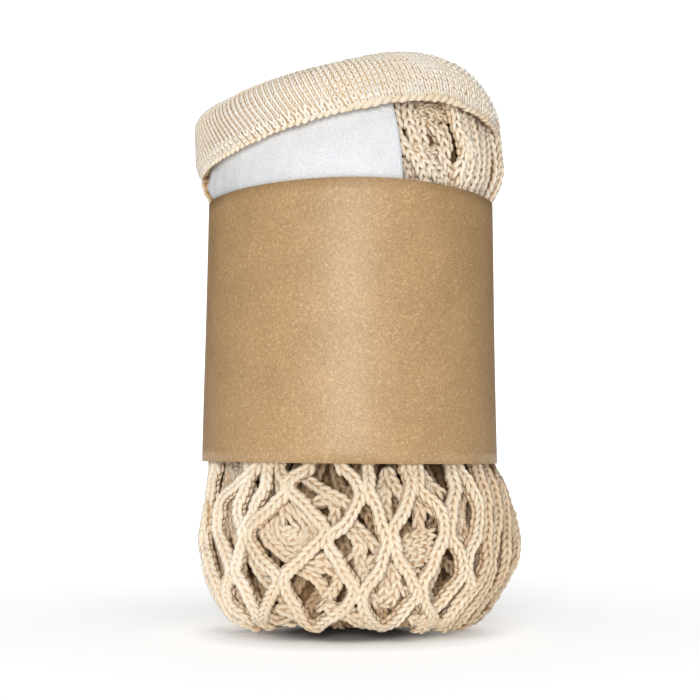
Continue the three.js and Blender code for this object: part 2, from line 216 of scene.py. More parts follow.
def net_row(row):
    """The section at fractional rows of the table."""
    return np.stack([np.interp(row, fine_rows, column) for column in NET_FINE.T], axis=1)


def row_at(height):
    """The fractional row of a height on the side of the roll."""
    side = NET_FINE[:, HEIGHT] > 1.0
    return np.interp(-np.asarray(height, float), -NET_FINE[side, HEIGHT], fine_rows[side])


def oval(sections, degrees, lift=0.0):
    """Points of oval sections. The angle runs from the front towards the right."""
    turn = np.radians(degrees)
    across, forward = np.sin(turn), np.cos(turn)
    wide = np.where(across > 0, sections[:, RIGHT], sections[:, LEFT]) + lift
    deep = np.where(forward > 0, sections[:, FRONT], sections[:, BACK]) + lift
    return np.stack([wide * across, -deep * forward, sections[:, HEIGHT]], axis=1)


def unit(vectors):
    return vectors / np.maximum(np.linalg.norm(vectors, axis=-1, keepdims=True), 1e-9)


def on_net(row, degrees, depth):
    """Points sunk by a depth below the net's face, and the outward direction at each."""
    given = (np.atleast_1d(np.asarray(x, float)) for x in (row, degrees, depth))
    row, degrees, depth = np.broadcast_arrays(*given)
    place = oval(net_row(row), degrees)
    side = oval(net_row(row), degrees + 1) - oval(net_row(row), degrees - 1)
    rise = oval(net_row(row - 0.1), degrees) - oval(net_row(row + 0.1), degrees)
    out = unit(np.cross(side, rise))
    return place - out * depth[:, None], out


print("rows of the smoothed table:", len(NET_FINE))

# %% [markdown]
# ## Cotton yarn
# The bag is knitted from soft, undyed cotton of several plies. Its colour is a warm cream that
# varies a little from place to place. Shade is painted into it as well: each length of yarn turns darker
# and browner on its underside and near its ends, where it dives between its neighbours, and copies of
# the yarn painted lighter or darker stand for the light that parts of the roll get. A picture of knitting
# laid over a wall would look flat from the side, so the stitches are real and the finish adds only what
# is finer: the plies, whose bump follows the yarn's own UV map, and the hair of the fibres, which is
# noise on the object's coordinates.

# %% Helpers for finishes


def finish_nodes(name):
    material = bpy.data.materials.new(name)
    material.use_nodes = True
    nodes, links = material.node_tree.nodes, material.node_tree.links
    return material, nodes, links, nodes["Principled BSDF"]


def srgb(red, green, blue):
    channel = [x / 255 for x in (red, green, blue)]
    return [*(x / 12.92 if x <= 0.04045 else ((x + 0.055) / 1.055) ** 2.4 for x in channel), 1.0]


def noise_node(nodes, links, vector, scale, detail, roughness=0.5):
    node = nodes.new("ShaderNodeTexNoise")
    node.inputs["Scale"].default_value = scale
    node.inputs["Detail"].default_value = detail
    node.inputs["Roughness"].default_value = roughness
    links.new(vector, node.inputs["Vector"])
    return node.outputs["Fac"]


def ramp_node(nodes, links, value, stops):
    node = nodes.new("ShaderNodeValToRGB")
    links.new(value, node.inputs["Fac"])
    ramp = node.color_ramp.elements
    while len(ramp) < len(stops):
        ramp.new(0.5)
    for element, (position, colour) in zip(ramp, stops):
        element.position = position
        element.color = colour
    return node.outputs["Color"]


def feed(links, socket, value):
    """Links a socket to a node's output, or sets it to a plain value."""
    if isinstance(value, bpy.types.NodeSocket):
        links.new(value, socket)
    else:
        socket.default_value = value


def math_node(nodes, links, operation, *values):
    node = nodes.new("ShaderNodeMath")
    node.operation = operation
    for socket, value in zip(node.inputs, values):
        feed(links, socket, value)
    return node.outputs["Value"]


def mix_node(nodes, links, share, first, second, blend="MIX"):
    node = nodes.new("ShaderNodeMix")
    node.data_type = "RGBA"
    node.blend_type = blend
    for name, value in (("Factor", share), ("A", first), ("B", second)):
        feed(links, node.inputs[name], value)
    return node.outputs["Result"]


def bump_node(nodes, links, height, distance, strength, before=None):
    node = nodes.new("ShaderNodeBump")
    node.inputs["Distance"].default_value = distance
    node.inputs["Strength"].default_value = strength
    links.new(height, node.inputs["Height"])
    if before is not None:
        links.new(before, node.inputs["Normal"])
    return node.outputs["Normal"]


print("white as linear light:", srgb(255, 255, 255))

# %% Yarn finish
YARN_UV = "yarn"
PLIES = 4  # plies that show round a length of yarn
PLY_TWIST = 1.2  # turns that they make along a stitch
HAIR_SCALE, PATCH_SCALE = 3800, 140  # single fibres, and broad patches of tone
FIRST_CORNER = math.pi / 5  # where the UV map starts round a length of yarn
FULL_PAINTED_SHADE = -0.55  # the painted shade is full here, on the underside and near the ends


def cotton_yarn(name, light, dark, deep, unshaded_from=0.95):
    """Yarn with a light and a dark tone, and a deep colour of painted shade on its underside and where it
    dives in.
    """
    material, nodes, links, shader = finish_nodes(name)
    place = nodes.new("ShaderNodeTexCoord").outputs["Object"]
    uv = nodes.new("ShaderNodeUVMap")
    uv.uv_map = YARN_UV
    parts = nodes.new("ShaderNodeSeparateXYZ")
    links.new(uv.outputs["UV"], parts.inputs["Vector"])
    around = math_node(nodes, links, "MULTIPLY", parts.outputs["X"], 2 * math.pi * PLIES)
    along = math_node(nodes, links, "MULTIPLY", parts.outputs["Y"], 2 * math.pi * PLY_TWIST)
    ply = math_node(nodes, links, "SINE", math_node(nodes, links, "ADD", around, along))
    hair = noise_node(nodes, links, place, scale=HAIR_SCALE, detail=3, roughness=0.6)
    patches = noise_node(nodes, links, place, scale=PATCH_SCALE, detail=3)
    tone = ramp_node(nodes, links, patches, [(0.3, srgb(*dark)), (0.68, srgb(*light))])
    turn = math_node(nodes, links, "MULTIPLY_ADD", parts.outputs["X"], 2 * math.pi, FIRST_CORNER)
    upper = math_node(nodes, links, "SINE", turn)
    from_middle = math_node(nodes, links, "MULTIPLY_ADD", parts.outputs["Y"], 2, -1)
    to_end = math_node(nodes, links, "ABSOLUTE", from_middle)
    painted_lit_share = math_node(nodes, links, "SUBTRACT", upper, math_node(nodes, links, "POWER", to_end, 3))
    reach = nodes.new("ShaderNodeMapRange")
    reach.inputs["From Min"].default_value = FULL_PAINTED_SHADE
    reach.inputs["From Max"].default_value = unshaded_from
    links.new(painted_lit_share, reach.inputs["Value"])
    # the deep colour is painted shade, and the mask puts it on the underside and the ends of each leg
    colour = mix_node(nodes, links, reach.outputs["Result"], srgb(*deep), tone)
    links.new(colour, shader.inputs["Base Color"])
    normal = bump_node(nodes, links, ply, distance=0.00012, strength=0.6)
    normal = bump_node(nodes, links, hair, distance=0.00016, strength=0.6, before=normal)
    links.new(normal, shader.inputs["Normal"])
    shader.inputs["Roughness"].default_value = 0.95
    shader.inputs["Specular IOR Level"].default_value = 0.15
    shader.inputs["Sheen Weight"].default_value = 0.15
    shader.inputs["Sheen Roughness"].default_value = 0.6
    return material


# The last colour of each yarn is painted shade, for its underside and the ends that dive in. The copies
# are one cream yarn painted lighter or darker for the light on their part of the roll: darker ones with
# painted shade for the sides, the back, the right and the layers deep inside, lighter ones with painted
# light for the lit cords, the window, the strap, the knots and the rim, whose warm copy has a little more
# painted shade.
YARN = cotton_yarn("cotton_yarn", (243, 229, 206), (236, 216, 186), (206, 170, 126))
PAINTED_SHADE_YARN = cotton_yarn("painted_shade_cotton_yarn", (230, 211, 183), (219, 194, 160), (172, 130, 86))
PAINTED_LIGHT_YARN = cotton_yarn("painted_light_cotton_yarn", (252, 242, 224), (247, 231, 206), (220, 184, 138))
RIM_YARN = cotton_yarn("rim_cotton_yarn", (255, 249, 238), (254, 241, 221), (244, 218, 181), unshaded_from=0.55)
WARM_YARN = cotton_yarn("warm_yarn", (255, 248, 235), (254, 240, 217), (240, 212, 173), unshaded_from=0.65)
INNER_SHADE_YARN = cotton_yarn("inner_painted_shade_yarn", (204, 175, 139), (184, 154, 118), (128, 98, 66))
print("yarns:", [y.name for y in (YARN, PAINTED_SHADE_YARN, PAINTED_LIGHT_YARN, RIM_YARN, WARM_YARN, INNER_SHADE_YARN)])

# %% [markdown]
# ## The cloth behind the stitches
# Between the stitches more knitting shows, too deep in the shade for single loops. To knit it too would
# take many triangles that nobody sees, so it is plain walls with a lumpy finish. Their browns are painted
# shade: the knitting behind is the same cream yarn, darker only for the shade it lies in.

# %% Ground finish


def painted_shade_ground(name, dark, light):
    material, nodes, links, shader = finish_nodes(name)
    place = nodes.new("ShaderNodeTexCoord").outputs["Object"]
    lumps = noise_node(nodes, links, place, scale=520, detail=4, roughness=0.6)
    tone = ramp_node(nodes, links, lumps, [(0.35, srgb(*dark)), (0.65, srgb(*light))])
    links.new(tone, shader.inputs["Base Color"])
    links.new(bump_node(nodes, links, lumps, distance=0.0012, strength=0.9), shader.inputs["Normal"])
    shader.inputs["Roughness"].default_value = 0.95
    shader.inputs["Specular IOR Level"].default_value = 0.1
    return material


# each ground's two colours are painted shade, darkest on the roll's core and in the window
PAINTED_SHADE_KNIT = painted_shade_ground("painted_shade_knit", (104, 77, 49), (164, 131, 95))
STRAP_SHADE_GROUND = painted_shade_ground("strap_ground", (206, 174, 132), (236, 210, 174))
WINDOW_SHADE_GROUND = painted_shade_ground("window_ground", (122, 93, 62), (172, 138, 100))
RIM_SHADE_GROUND = painted_shade_ground("rim_shade_ground", (212, 180, 136), (236, 211, 172))
print("grounds:", [g.name for g in (PAINTED_SHADE_KNIT, STRAP_SHADE_GROUND, WINDOW_SHADE_GROUND, RIM_SHADE_GROUND)])

# %% [markdown]
# ## One stitch
# A knitted cloth is rows of loops, and from the front each loop shows as a V of two legs. One leg is
# a short length of yarn that rises out of the stitch below, swells, and dives under the next. A curve
# with a round section could draw it, but the swelling and the ends matter most here, so a leg is a few
# rings of points with a radius each. Every stitch on the bag is a copy of such a small mesh, so it has
# only a few dozen faces.

# %% Yarn legs and the stitches of a cord


def leg_mesh(name, legs, sides):
    """A mesh of tapered lengths of yarn. Each leg is a list of (across, along, out, radius)."""
    points, faces, uvs = [], [], []
    for leg in legs:
        spine = np.array(leg)[:, :3]
        radius = np.array(leg)[:, 3]
        ahead = unit(np.gradient(spine, axis=0))
        side = unit(np.cross(ahead, (0, 0, 1)))
        up = np.cross(side, ahead)
        first = len(points)
        for place, s, u, r in zip(spine, side, up, radius):
            for k in range(sides):
                a = 2 * math.pi * (k + 0.5) / sides
                points.append(place + r * (math.cos(a) * s + math.sin(a) * u))
        last = len(spine) - 1
        for i in range(last):
            for k in range(sides):
                n = (k + 1) % sides
                low, high = first + i * sides, first + (i + 1) * sides
                faces.append((low + k, high + k, high + n, low + n))
                uvs += [(k / sides, i / last), (k / sides, (i + 1) / last)]
                uvs += [((k + 1) / sides, (i + 1) / last), ((k + 1) / sides, i / last)]
        faces.append(tuple(first + k for k in range(sides)))
        faces.append(tuple(first + last * sides + k for k in reversed(range(sides))))
        uvs += [(k / sides, 0.0) for k in range(sides)]
        uvs += [(k / sides, 1.0) for k in reversed(range(sides))]
    mesh = bpy.data.meshes.new(name)
    mesh.from_pydata([tuple(p * MM) for p in points], [], faces)
    mesh.uv_layers.new(name=YARN_UV).data.foreach_set("uv", np.array(uvs).ravel())
    mesh.polygons.foreach_set("use_smooth", [True] * len(faces))
    mesh.update()
    stitch = bpy.data.objects.new(name, mesh)
    scene.collection.objects.link(stitch)
    stitch.hide_render = True
    return stitch


def mirrored(leg):
    return [(-across, along, out, radius) for across, along, out, radius in leg]


def turned_over(leg):
    return [(across, along, -out, radius) for across, along, out, radius in leg]


CORD_LEG = [
    (-0.22, -1.95, 0.28, 0.50),
    (-0.54, -1.05, 0.80, 0.74),
    (-0.98, 0.00, 0.92, 0.80),
    (-1.24, 0.98, 0.60, 0.73),
    (-1.10, 1.80, -0.05, 0.50),
]
CORD_BACK_LEG = turned_over(CORD_LEG)
cord_stitch = leg_mesh(
    "cord_stitch",
    [CORD_LEG, mirrored(CORD_LEG), CORD_BACK_LEG, mirrored(CORD_BACK_LEG)],
    sides=5,
)

half_stitch = leg_mesh("half_stitch", [CORD_LEG, mirrored(CORD_LEG)], sides=4)
side_stitch = leg_mesh("side_stitch", [CORD_LEG, mirrored(CORD_LEG)], sides=5)
print(cord_stitch.name, "faces:", len(cord_stitch.data.polygons))

# %% [markdown]
# ## Stitches of the rim and the edges
# The rim is knitted closer than the net. At the left its columns stand out as ribs: one leg of the V
# lies high and the other sinks behind it, so the rib's stitch has a high leg and a low one. The edges of
# the hem and the strap are lobes of yarn that lie one over the next, like a rope.

# %% Stitches of the rim and the edges
SHEET_WALE = 2.0  # width of a column of stitches
SHEET_COURSE = 1.35  # height of a row
SHEET_LEG = [
    (-0.12, -1.00, -0.35, 0.26),
    (-0.26, -0.45, 0.16, 0.42),
    (-0.48, 0.15, 0.30, 0.46),
    (-0.60, 0.65, 0.10, 0.42),
    (-0.56, 1.10, -0.40, 0.26),
]
RIB_LEG = [
    (-0.30, -1.25, 0.16, 0.44),
    (-0.38, -0.50, 0.34, 0.60),
    (-0.44, 0.15, 0.40, 0.64),
    (-0.48, 0.75, 0.28, 0.59),
    (-0.48, 1.35, 0.04, 0.42),
]
LOW_LEG = [
    (0.30, -1.05, -0.56, 0.28),
    (0.46, -0.40, -0.14, 0.39),
    (0.60, 0.20, -0.10, 0.41),
    (0.66, 1.05, -0.56, 0.28),
]
EDGE_LOBE = [
    (0.80, -2.00, -0.40, 0.30),
    (0.55, -1.15, 0.35, 0.78),
    (0.05, 0.00, 0.60, 0.98),
    (-0.45, 1.05, 0.30, 0.80),
    (-0.75, 1.90, -0.50, 0.30),
]
KNOT_LOBE = [
    (0.42, -0.80, -0.35, 0.26),
    (0.24, -0.44, 0.22, 0.60),
    (0.00, 0.00, 0.38, 0.72),
    (-0.24, 0.44, 0.22, 0.60),
    (-0.42, 0.80, -0.35, 0.26),
]
sheet_stitch = leg_mesh("sheet_stitch", [SHEET_LEG, mirrored(SHEET_LEG)], sides=4)
rib_stitch = leg_mesh("rib_stitch", [RIB_LEG, LOW_LEG], sides=4)
edge_stitch = leg_mesh("edge_stitch", [EDGE_LOBE], sides=6)
knot_stitch = leg_mesh("knot_stitch", [KNOT_LOBE], sides=6)
STITCHES = [cord_stitch, half_stitch, side_stitch, sheet_stitch, rib_stitch, edge_stitch, knot_stitch]
for stitch in STITCHES:
    print(stitch.name, "faces:", len(stitch.data.polygons))

# %% [markdown]
# ## Two ways to lay stitches
# The net's cords follow paths, and the rim is a sheet. So there are two node trees: one walks along
# a path at an even pitch, the other visits every point of a grid. Both turn the stitch to follow the
# cloth with a direction stored on the guide, vary its size a little from a fixed seed, and end as
# real mesh, because only real mesh is kept with the part. A cord also gets a plain round core, so that
# no hollow shows between its stitches.

# %% What both trees share
SHARED_INPUTS = [
    ("Stitch", "NodeSocketObject"),
    ("Unevenness", "NodeSocketFloat"),
    ("Seed", "NodeSocketInt"),
    ("Yarn", "NodeSocketMaterial"),
]


def new_tree(name, inputs):
    tree = bpy.data.node_groups.new(name, "GeometryNodeTree")
    tree.interface.new_socket("Geometry", in_out="INPUT", socket_type="NodeSocketGeometry")
    for label, kind in inputs:
        tree.interface.new_socket(label, in_out="INPUT", socket_type=kind)
    tree.interface.new_socket("Geometry", in_out="OUTPUT", socket_type="NodeSocketGeometry")
    source = tree.nodes.new("NodeGroupInput").outputs
    result = tree.nodes.new("NodeGroupOutput").inputs["Geometry"]
    return tree, source, result


def attribute_node(tree, name):
    node = tree.nodes.new("GeometryNodeInputNamedAttribute")
    node.data_type = "FLOAT_VECTOR"
    node.inputs["Name"].default_value = name
    return node.outputs["Attribute"]


def lay_stitches(tree, source, result, points, along, size, core=None):
    """The part that both trees share: copies of the stitch on points, made real."""
    link = tree.links.new
    stitch = tree.nodes.new("GeometryNodeObjectInfo")
    link(source["Stitch"], stitch.inputs["Object"])
    turn = tree.nodes.new("FunctionNodeAxesToRotation")
    turn.primary_axis = "Y"
    turn.secondary_axis = "Z"
    link(along, turn.inputs["Primary Axis"])
    link(attribute_node(tree, "out"), turn.inputs["Secondary Axis"])
    uneven = tree.nodes.new("FunctionNodeRandomValue")
    uneven.data_type = "FLOAT_VECTOR"
    for limit, operation in (("Min", "SUBTRACT"), ("Max", "ADD")):
        bound = tree.nodes.new("ShaderNodeMath")
        bound.operation = operation
        bound.inputs[0].default_value = 1
        link(source["Unevenness"], bound.inputs[1])
        link(bound.outputs["Value"], uneven.inputs[limit])
    link(source["Seed"], uneven.inputs["Seed"])
    scale = tree.nodes.new("ShaderNodeVectorMath")
    scale.operation = "MULTIPLY"
    link(uneven.outputs["Value"], scale.inputs[0])
    link(size, scale.inputs[1])
    copies = tree.nodes.new("GeometryNodeInstanceOnPoints")
    link(points, copies.inputs["Points"])
    link(stitch.outputs["Geometry"], copies.inputs["Instance"])
    link(turn.outputs["Rotation"], copies.inputs["Rotation"])
    link(scale.outputs["Vector"], copies.inputs["Scale"])
    real = tree.nodes.new("GeometryNodeRealizeInstances")
    both = tree.nodes.new("GeometryNodeJoinGeometry")
    link(copies.outputs["Instances"], both.inputs["Geometry"])
    if core is not None:
        link(core, both.inputs["Geometry"])
    link(both.outputs["Geometry"], real.inputs["Geometry"])
    paint = tree.nodes.new("GeometryNodeSetMaterial")
    link(real.outputs["Geometry"], paint.inputs["Geometry"])
    link(source["Yarn"], paint.inputs["Material"])
    link(paint.outputs["Geometry"], result)


print("inputs of both trees:", [label for label, _ in SHARED_INPUTS])

# %% Node trees for cords and sheets
CORD_INPUTS = [
    ("Pitch", "NodeSocketFloat"),
    ("Size", "NodeSocketVector"),
    ("Core", "NodeSocketFloat"),
]
CORE_SIDES = 6


def cord_tree():
    tree, source, result = new_tree("stitches_along_a_cord", SHARED_INPUTS + CORD_INPUTS)
    curve = tree.nodes.new("GeometryNodeMeshToCurve")
    tree.links.new(source["Geometry"], curve.inputs["Mesh"])
    steps = tree.nodes.new("GeometryNodeResampleCurve")
    steps.mode = "LENGTH"
    tree.links.new(curve.outputs["Curve"], steps.inputs["Curve"])
    tree.links.new(source["Pitch"], steps.inputs["Length"])
    tangent = tree.nodes.new("GeometryNodeInputTangent").outputs["Tangent"]
    ring = tree.nodes.new("GeometryNodeCurvePrimitiveCircle")
    ring.inputs["Resolution"].default_value = CORE_SIDES
    tree.links.new(source["Core"], ring.inputs["Radius"])
    core = tree.nodes.new("GeometryNodeCurveToMesh")
    core.inputs["Fill Caps"].default_value = True
    tree.links.new(steps.outputs["Curve"], core.inputs["Curve"])
    tree.links.new(ring.outputs["Curve"], core.inputs["Profile Curve"])
    path, core_mesh = steps.outputs["Curve"], core.outputs["Mesh"]
    lay_stitches(tree, source, result, path, tangent, source["Size"], core_mesh)
    return tree


def sheet_tree():
    tree, source, result = new_tree("stitches_over_a_sheet", SHARED_INPUTS)
    along, size = attribute_node(tree, "along"), attribute_node(tree, "size")
    lay_stitches(tree, source, result, source["Geometry"], along, size)
    return tree


CORD_TREE = cord_tree()
SHEET_TREE = sheet_tree()
print("trees:", CORD_TREE.name, SHEET_TREE.name)

# %% [markdown]
# ## From a guide to a piece
# A guide is a mesh of bare points, or of points joined by edges, that carries the directions which the
# trees read. The tree runs as a modifier on it, and the evaluated result is kept as a plain mesh, so
# that nothing of the guide stays in the scene.

# %% Guides and the pieces grown on them


def guide_mesh(name, points, edges, **directions):
    mesh = bpy.data.meshes.new(name)
    mesh.from_pydata([tuple(p) for p in np.asarray(points) * MM], edges, [])
    for label, values in directions.items():
        stored = mesh.attributes.new(label, "FLOAT_VECTOR", "POINT")
        stored.data.foreach_set("vector", np.asarray(values, float).ravel())
    return mesh


def grown(name, guide, tree, **values):
    """Runs a tree over a guide and keeps the result as a plain mesh object."""
    holder = bpy.data.objects.new(name + "_guide", guide)
    scene.collection.objects.link(holder)
    modifier = holder.modifiers.new("stitches", "NODES")
    modifier.node_group = tree
    sockets = {s.name: s.identifier for s in tree.interface.items_tree if s.in_out == "INPUT"}
    for label, value in values.items():
        modifier[sockets[label]] = value
    graph = bpy.context.evaluated_depsgraph_get()
    mesh = bpy.data.meshes.new_from_object(holder.evaluated_get(graph))
    mesh.name = name
    for label in ("out", "along", "size"):
        if label in mesh.attributes:
            mesh.attributes.remove(mesh.attributes[label])
    bpy.data.objects.remove(holder)
    piece = bpy.data.objects.new(name, mesh)
    scene.collection.objects.link(piece)
    return piece


def triangles(piece):
    return sum(len(p.vertices) - 2 for p in piece.data.polygons)


def cords(name, paths, yarn, pitch, size, seed, stitch=cord_stitch, unevenness=0.06, core=0.85):
    """Knitted cords along paths, each a pair of points and outward directions."""
    points = np.concatenate([p for p, _ in paths])
    outs = np.concatenate([o for _, o in paths])
    edges, first = [], 0
    for p, _ in paths:
        edges += [(first + i, first + i + 1) for i in range(len(p) - 1)]
        first += len(p)
    guide = guide_mesh(name, points, edges, out=outs)
    return grown(
        name, guide, CORD_TREE, Stitch=stitch, Unevenness=unevenness, Seed=seed, Yarn=yarn,
        Pitch=pitch * MM, Size=(size, size, size), Core=core * size * MM,
    )


print("more inputs of a cord:", [label for label, _ in CORD_INPUTS])

# %% [markdown]
# ## The outer net
# The net is knitted cords side by side. Each cord leans to one neighbour, touches it for a few
# stitches, then swings back to the other, and the gaps between are the diamonds. No two diamonds
# are alike on a bag that has been rolled by hand, so the cords at the front are traced: each row is
# one cord, as points (across, height) seen from the front. Round the sides and back they are laid by
# rule. Under the base the cords turn in and the roll stands on them.

# %% Traced cords at the front
FRONT_CORDS = [
    # points (across, height) down one cord, as seen from the front
    [(-38.5, 47.9), (-40.5, 39), (-41.6, 30), (-41.2, 25), (-39, 17.5), (-35, 8.4), (-27.7, 3.7)],
    [
        (-27.7, 47.6), (-33.7, 42.2), (-37.6, 38.2), (-38.7, 31), (-37.2, 25.5), (-34.8, 20),
        (-35.8, 15), (-35, 10), (-28, 4),
    ],
    [(-29.9, 47.2), (-30.9, 41.6), (-32.8, 36.5), (-31.4, 28), (-33.9, 20), (-30.3, 13), (-26.8, 5.2)],
    [(-24.6, 47.6), (-24.9, 44.4), (-26.3, 40.5), (-29.3, 35), (-31.2, 31.5)],
    [
        (-21.4, 47.9), (-19.8, 41), (-23, 37.5), (-30.1, 30), (-27.1, 23), (-21.7, 17),
        (-24.3, 11.6), (-26.1, 4.9),
    ],
    [
        (-13.2, 47.6), (-17.9, 44.7), (-18.2, 41), (-14.1, 37.5), (-9.7, 32), (-9.3, 28.5),
        (-16.4, 21.7), (-20.3, 16.5), (-18, 10.9), (-15.5, 6.2), (-13.4, 3.9), (-11, 3),
    ],
    [
        (-4.4, 47.6), (0, 44), (0.3, 38.5), (-2.8, 32.7), (-8, 28.2), (-5.6, 22.6),
        (-0.8, 14.5), (-1.9, 10.2), (-4.2, 8), (-6.6, 6.3), (-9, 4.6), (-11.4, 3.1),
    ],
    [
        (3.5, 47.6), (3.5, 42), (5.4, 36.8), (8.1, 27), (5.7, 18.5), (1.4, 12.5),
        (2, 9.8), (2.9, 6.8), (4.7, 4.4), (7.2, 3.1),
    ],
    [
        (14, 47.6), (15, 41.5), (13, 36), (10.3, 29.5), (11.7, 23.2), (16.6, 13.8),
        (14.6, 10.2), (12.6, 7.4), (10.1, 5), (7.2, 3.1),
    ],
    [(17.1, 47.6), (17.5, 42), (22.5, 36.8), (24.5, 31), (21.2, 20.7), (18.1, 13.5), (20.9, 6.2)],
    [(26.3, 47.6), (27.3, 41), (26.2, 30), (29.4, 20), (24.4, 11.6), (19.6, 6.4)],
    [(28.8, 47.6), (33.3, 38.5), (33.3, 30), (30.4, 20.3), (31.4, 15.5), (25.3, 6.5)],
    [(32.6, 47.6), (35.8, 38), (35.9, 28), (34.5, 18.8), (27.2, 7.8)],
    [(35.4, 47.2), (38.3, 37.8), (37.9, 27), (35.7, 16.3), (30.4, 8.7)],
    [(37.6, 46.9), (40.8, 37), (41, 28), (39.4, 18.5), (32.9, 8.4)],
    [(38, 47.2), (42.1, 37.8), (43.3, 28), (41.7, 18.2), (37.3, 10.6), (30.7, 5.6)],
]
print("traced cords:", len(FRONT_CORDS))

# %% [markdown]
# ## From the picture to the net
# A traced point is a place in the picture and not yet on the roll. A line of sight runs from the view
# point through it, and the cord lies where that line first meets the net's face. The points are joined
# by a smooth curve before that, because yarn doesn't bend in corners.

# %% Lines of sight
FRONT_PLANE = -45.0  # the traced points are taken on this plane, square to the view
SIGHT_FROM, SIGHT_TO, SIGHT_STEPS = 440, 505, 200  # the face is looked for between these distances


def rounded_path(points, step=1.0):
    """A smooth path through points, by Catmull-Rom pieces, at about even steps."""
    p = np.array(points, float)
    p = np.concatenate([2 * p[:1] - p[1:2], p, 2 * p[-1:] - p[-2:-1]])
    made = []
    for a, b, c, d in zip(p[:-3], p[1:-2], p[2:-1], p[3:]):
        count = max(int(np.linalg.norm(c - b) / step), 2)
        t = (np.arange(count) / count)[:, None]
        bend = (2 * a - 5 * b + 4 * c - d) * t**2
        swing = (3 * b - a - 3 * c + d) * t**3
        made.append(0.5 * (2 * b + (c - a) * t + bend + swing))
    return np.concatenate([*made, p[-2:-1]])


def seen_on_net(points):
    """Where lines of sight through traced points meet the net's face: table row and angle."""
    traced = np.stack([points[:, 0], np.full(len(points), FRONT_PLANE), points[:, 1]], axis=1)
    ray = unit(traced - VIEW_POINT)
    reach = np.linspace(SIGHT_FROM, SIGHT_TO, SIGHT_STEPS)
    spots = VIEW_POINT + reach[None, :, None] * ray[:, None, :]
    sections = net_row(row_at(spots[..., 2].ravel())).reshape(*spots.shape[:2], 5)
    wide = np.where(spots[..., 0] > 0, sections[..., RIGHT], sections[..., LEFT])
    over = (spots[..., 0] / wide) ** 2 + (spots[..., 1] / sections[..., FRONT]) ** 2
    inside = over < 1
    pick = np.where(inside.any(axis=1), inside.argmax(axis=1), over.argmin(axis=1))
    each = np.arange(len(points))
    spot = spots[each, pick]
    across = spot[:, 0] / wide[each, pick]
    forward = -spot[:, 1] / sections[each, pick, FRONT]
    return row_at(spot[:, 2]), np.degrees(np.arctan2(across, forward))


print("row and angle of a traced point:", *seen_on_net(np.array([(20.0, 30.0)])))

# %% [markdown]
# ## How a cord lies
# A path alone doesn't say which way the stitches face. On the bag a loose cord rolls a little from side
# to side and shows its face to the front. So each point of a path also has an outward direction, which
# leans from the net's own towards the view: more at the left, less at the right, not under the base.

# %% A cord laid on the net
rng = np.random.default_rng(7)
PHASE = 6.3  # random phases run over about a turn, in radians
FACING = 0.7  # how far the traced cords turn their stitches to the front
TWIST = 0.4  # how far a cord rolls from side to side along its length
SWAY = 0.35  # how far a traced cord strays, in millimetres of depth and in degrees
COVERED_ROW = 7.0  # the cords start behind the sleeve, at this row of the table
FRONT_BASE_ROW = 15.3  # and at the front they turn in under the base as far as this row


def laid_cord(row, degrees, depth, facing=FACING):
    """A path on the net, as points and outward directions."""
    points, out = on_net(row, degrees, depth)
    ahead = unit(np.gradient(points, axis=0))
    run = np.arange(len(points)) / max(len(points), 2)
    roll = TWIST * np.sin(9 * run + rng.uniform(0, PHASE))
    above_base = np.clip(15 - row, 0, 1)
    at_right = np.clip((degrees - 40) / 30, 0, 1)
    at_left = np.clip((-degrees - 40) / 25, 0, 1)
    turned = facing * above_base * (1 - 0.5 * at_right) * (1 + 0.9 * at_left)
    view = unit(VIEW_POINT - points) * turned[:, None]
    return points, unit(out + view + roll[:, None] * np.cross(ahead, out))


def traced_cord(points, depth, to_base):
    """A traced cord, led up behind the sleeve and, where asked, in under the base."""
    row, degrees = seen_on_net(rounded_path(points))
    lead = np.arange(COVERED_ROW, row[0], 0.15)
    row = np.concatenate([lead, row])
    degrees = np.concatenate([np.full(len(lead), degrees[0]), degrees])
    if to_base:
        tail = np.arange(row[-1] + 0.1, FRONT_BASE_ROW, 0.1)
        row = np.concatenate([row, tail])
        degrees = np.concatenate([degrees, np.full(len(tail), degrees[-1])])
    sway = SWAY * np.sin(1.7 * row + rng.uniform(0, PHASE))
    degrees = degrees + SWAY * np.sin(5.6 * row + rng.uniform(0, PHASE))
    return laid_cord(row, degrees, depth + np.maximum(sway, -0.1))


print("cords start at height:", round(float(net_row([COVERED_ROW])[0, HEIGHT]), 1))

# %% Cords at the front
CORD_PITCH = 2.1
CORD_SIZE = 0.99
CORD_DEPTH = 2.1  # the middle of an outer cord lies this far under the face
OUTER_DEPTH = 1.6  # and at the sides of the roll a little less
FACE_FROM, FACE_TO = -36, 32  # across, where the sides begin
LOOP_END, BASE_END = 3.2, 10  # a cord that ends between these heights goes on under the base
TURNING = 4  # traced cords at each end that turn round the side
front_paths = []
for points in FRONT_CORDS:
    depth = CORD_DEPTH if FACE_FROM < points[0][0] < FACE_TO else OUTER_DEPTH
    front_paths.append(traced_cord(points, depth, LOOP_END < points[-1][1] < BASE_END))
front_net = cords(
    "front_net_cords", front_paths[TURNING:-TURNING], YARN, CORD_PITCH, CORD_SIZE, seed=11, unevenness=0.1,
)
# the cords at the right end are in the darker yarn with painted shade, as the light falls off there
right_net = cords(
    "right_net_cords", front_paths[-TURNING:], PAINTED_SHADE_YARN, CORD_PITCH, CORD_SIZE, seed=17, unevenness=0.1,
)
print(front_net.name, "triangles:", triangles(front_net) + triangles(right_net))

# %% [markdown]
# ## Cords round the sides and the back
# The picture doesn't show these, but the net goes on. Copies of the front would repeat its chance
# shapes, so they follow the rule of a knitted net: each cord swings to one neighbour and back to the
# other, every second one the other way round, and diamonds are left between them. A second round lies
# deeper and closes the gaps at the sides.

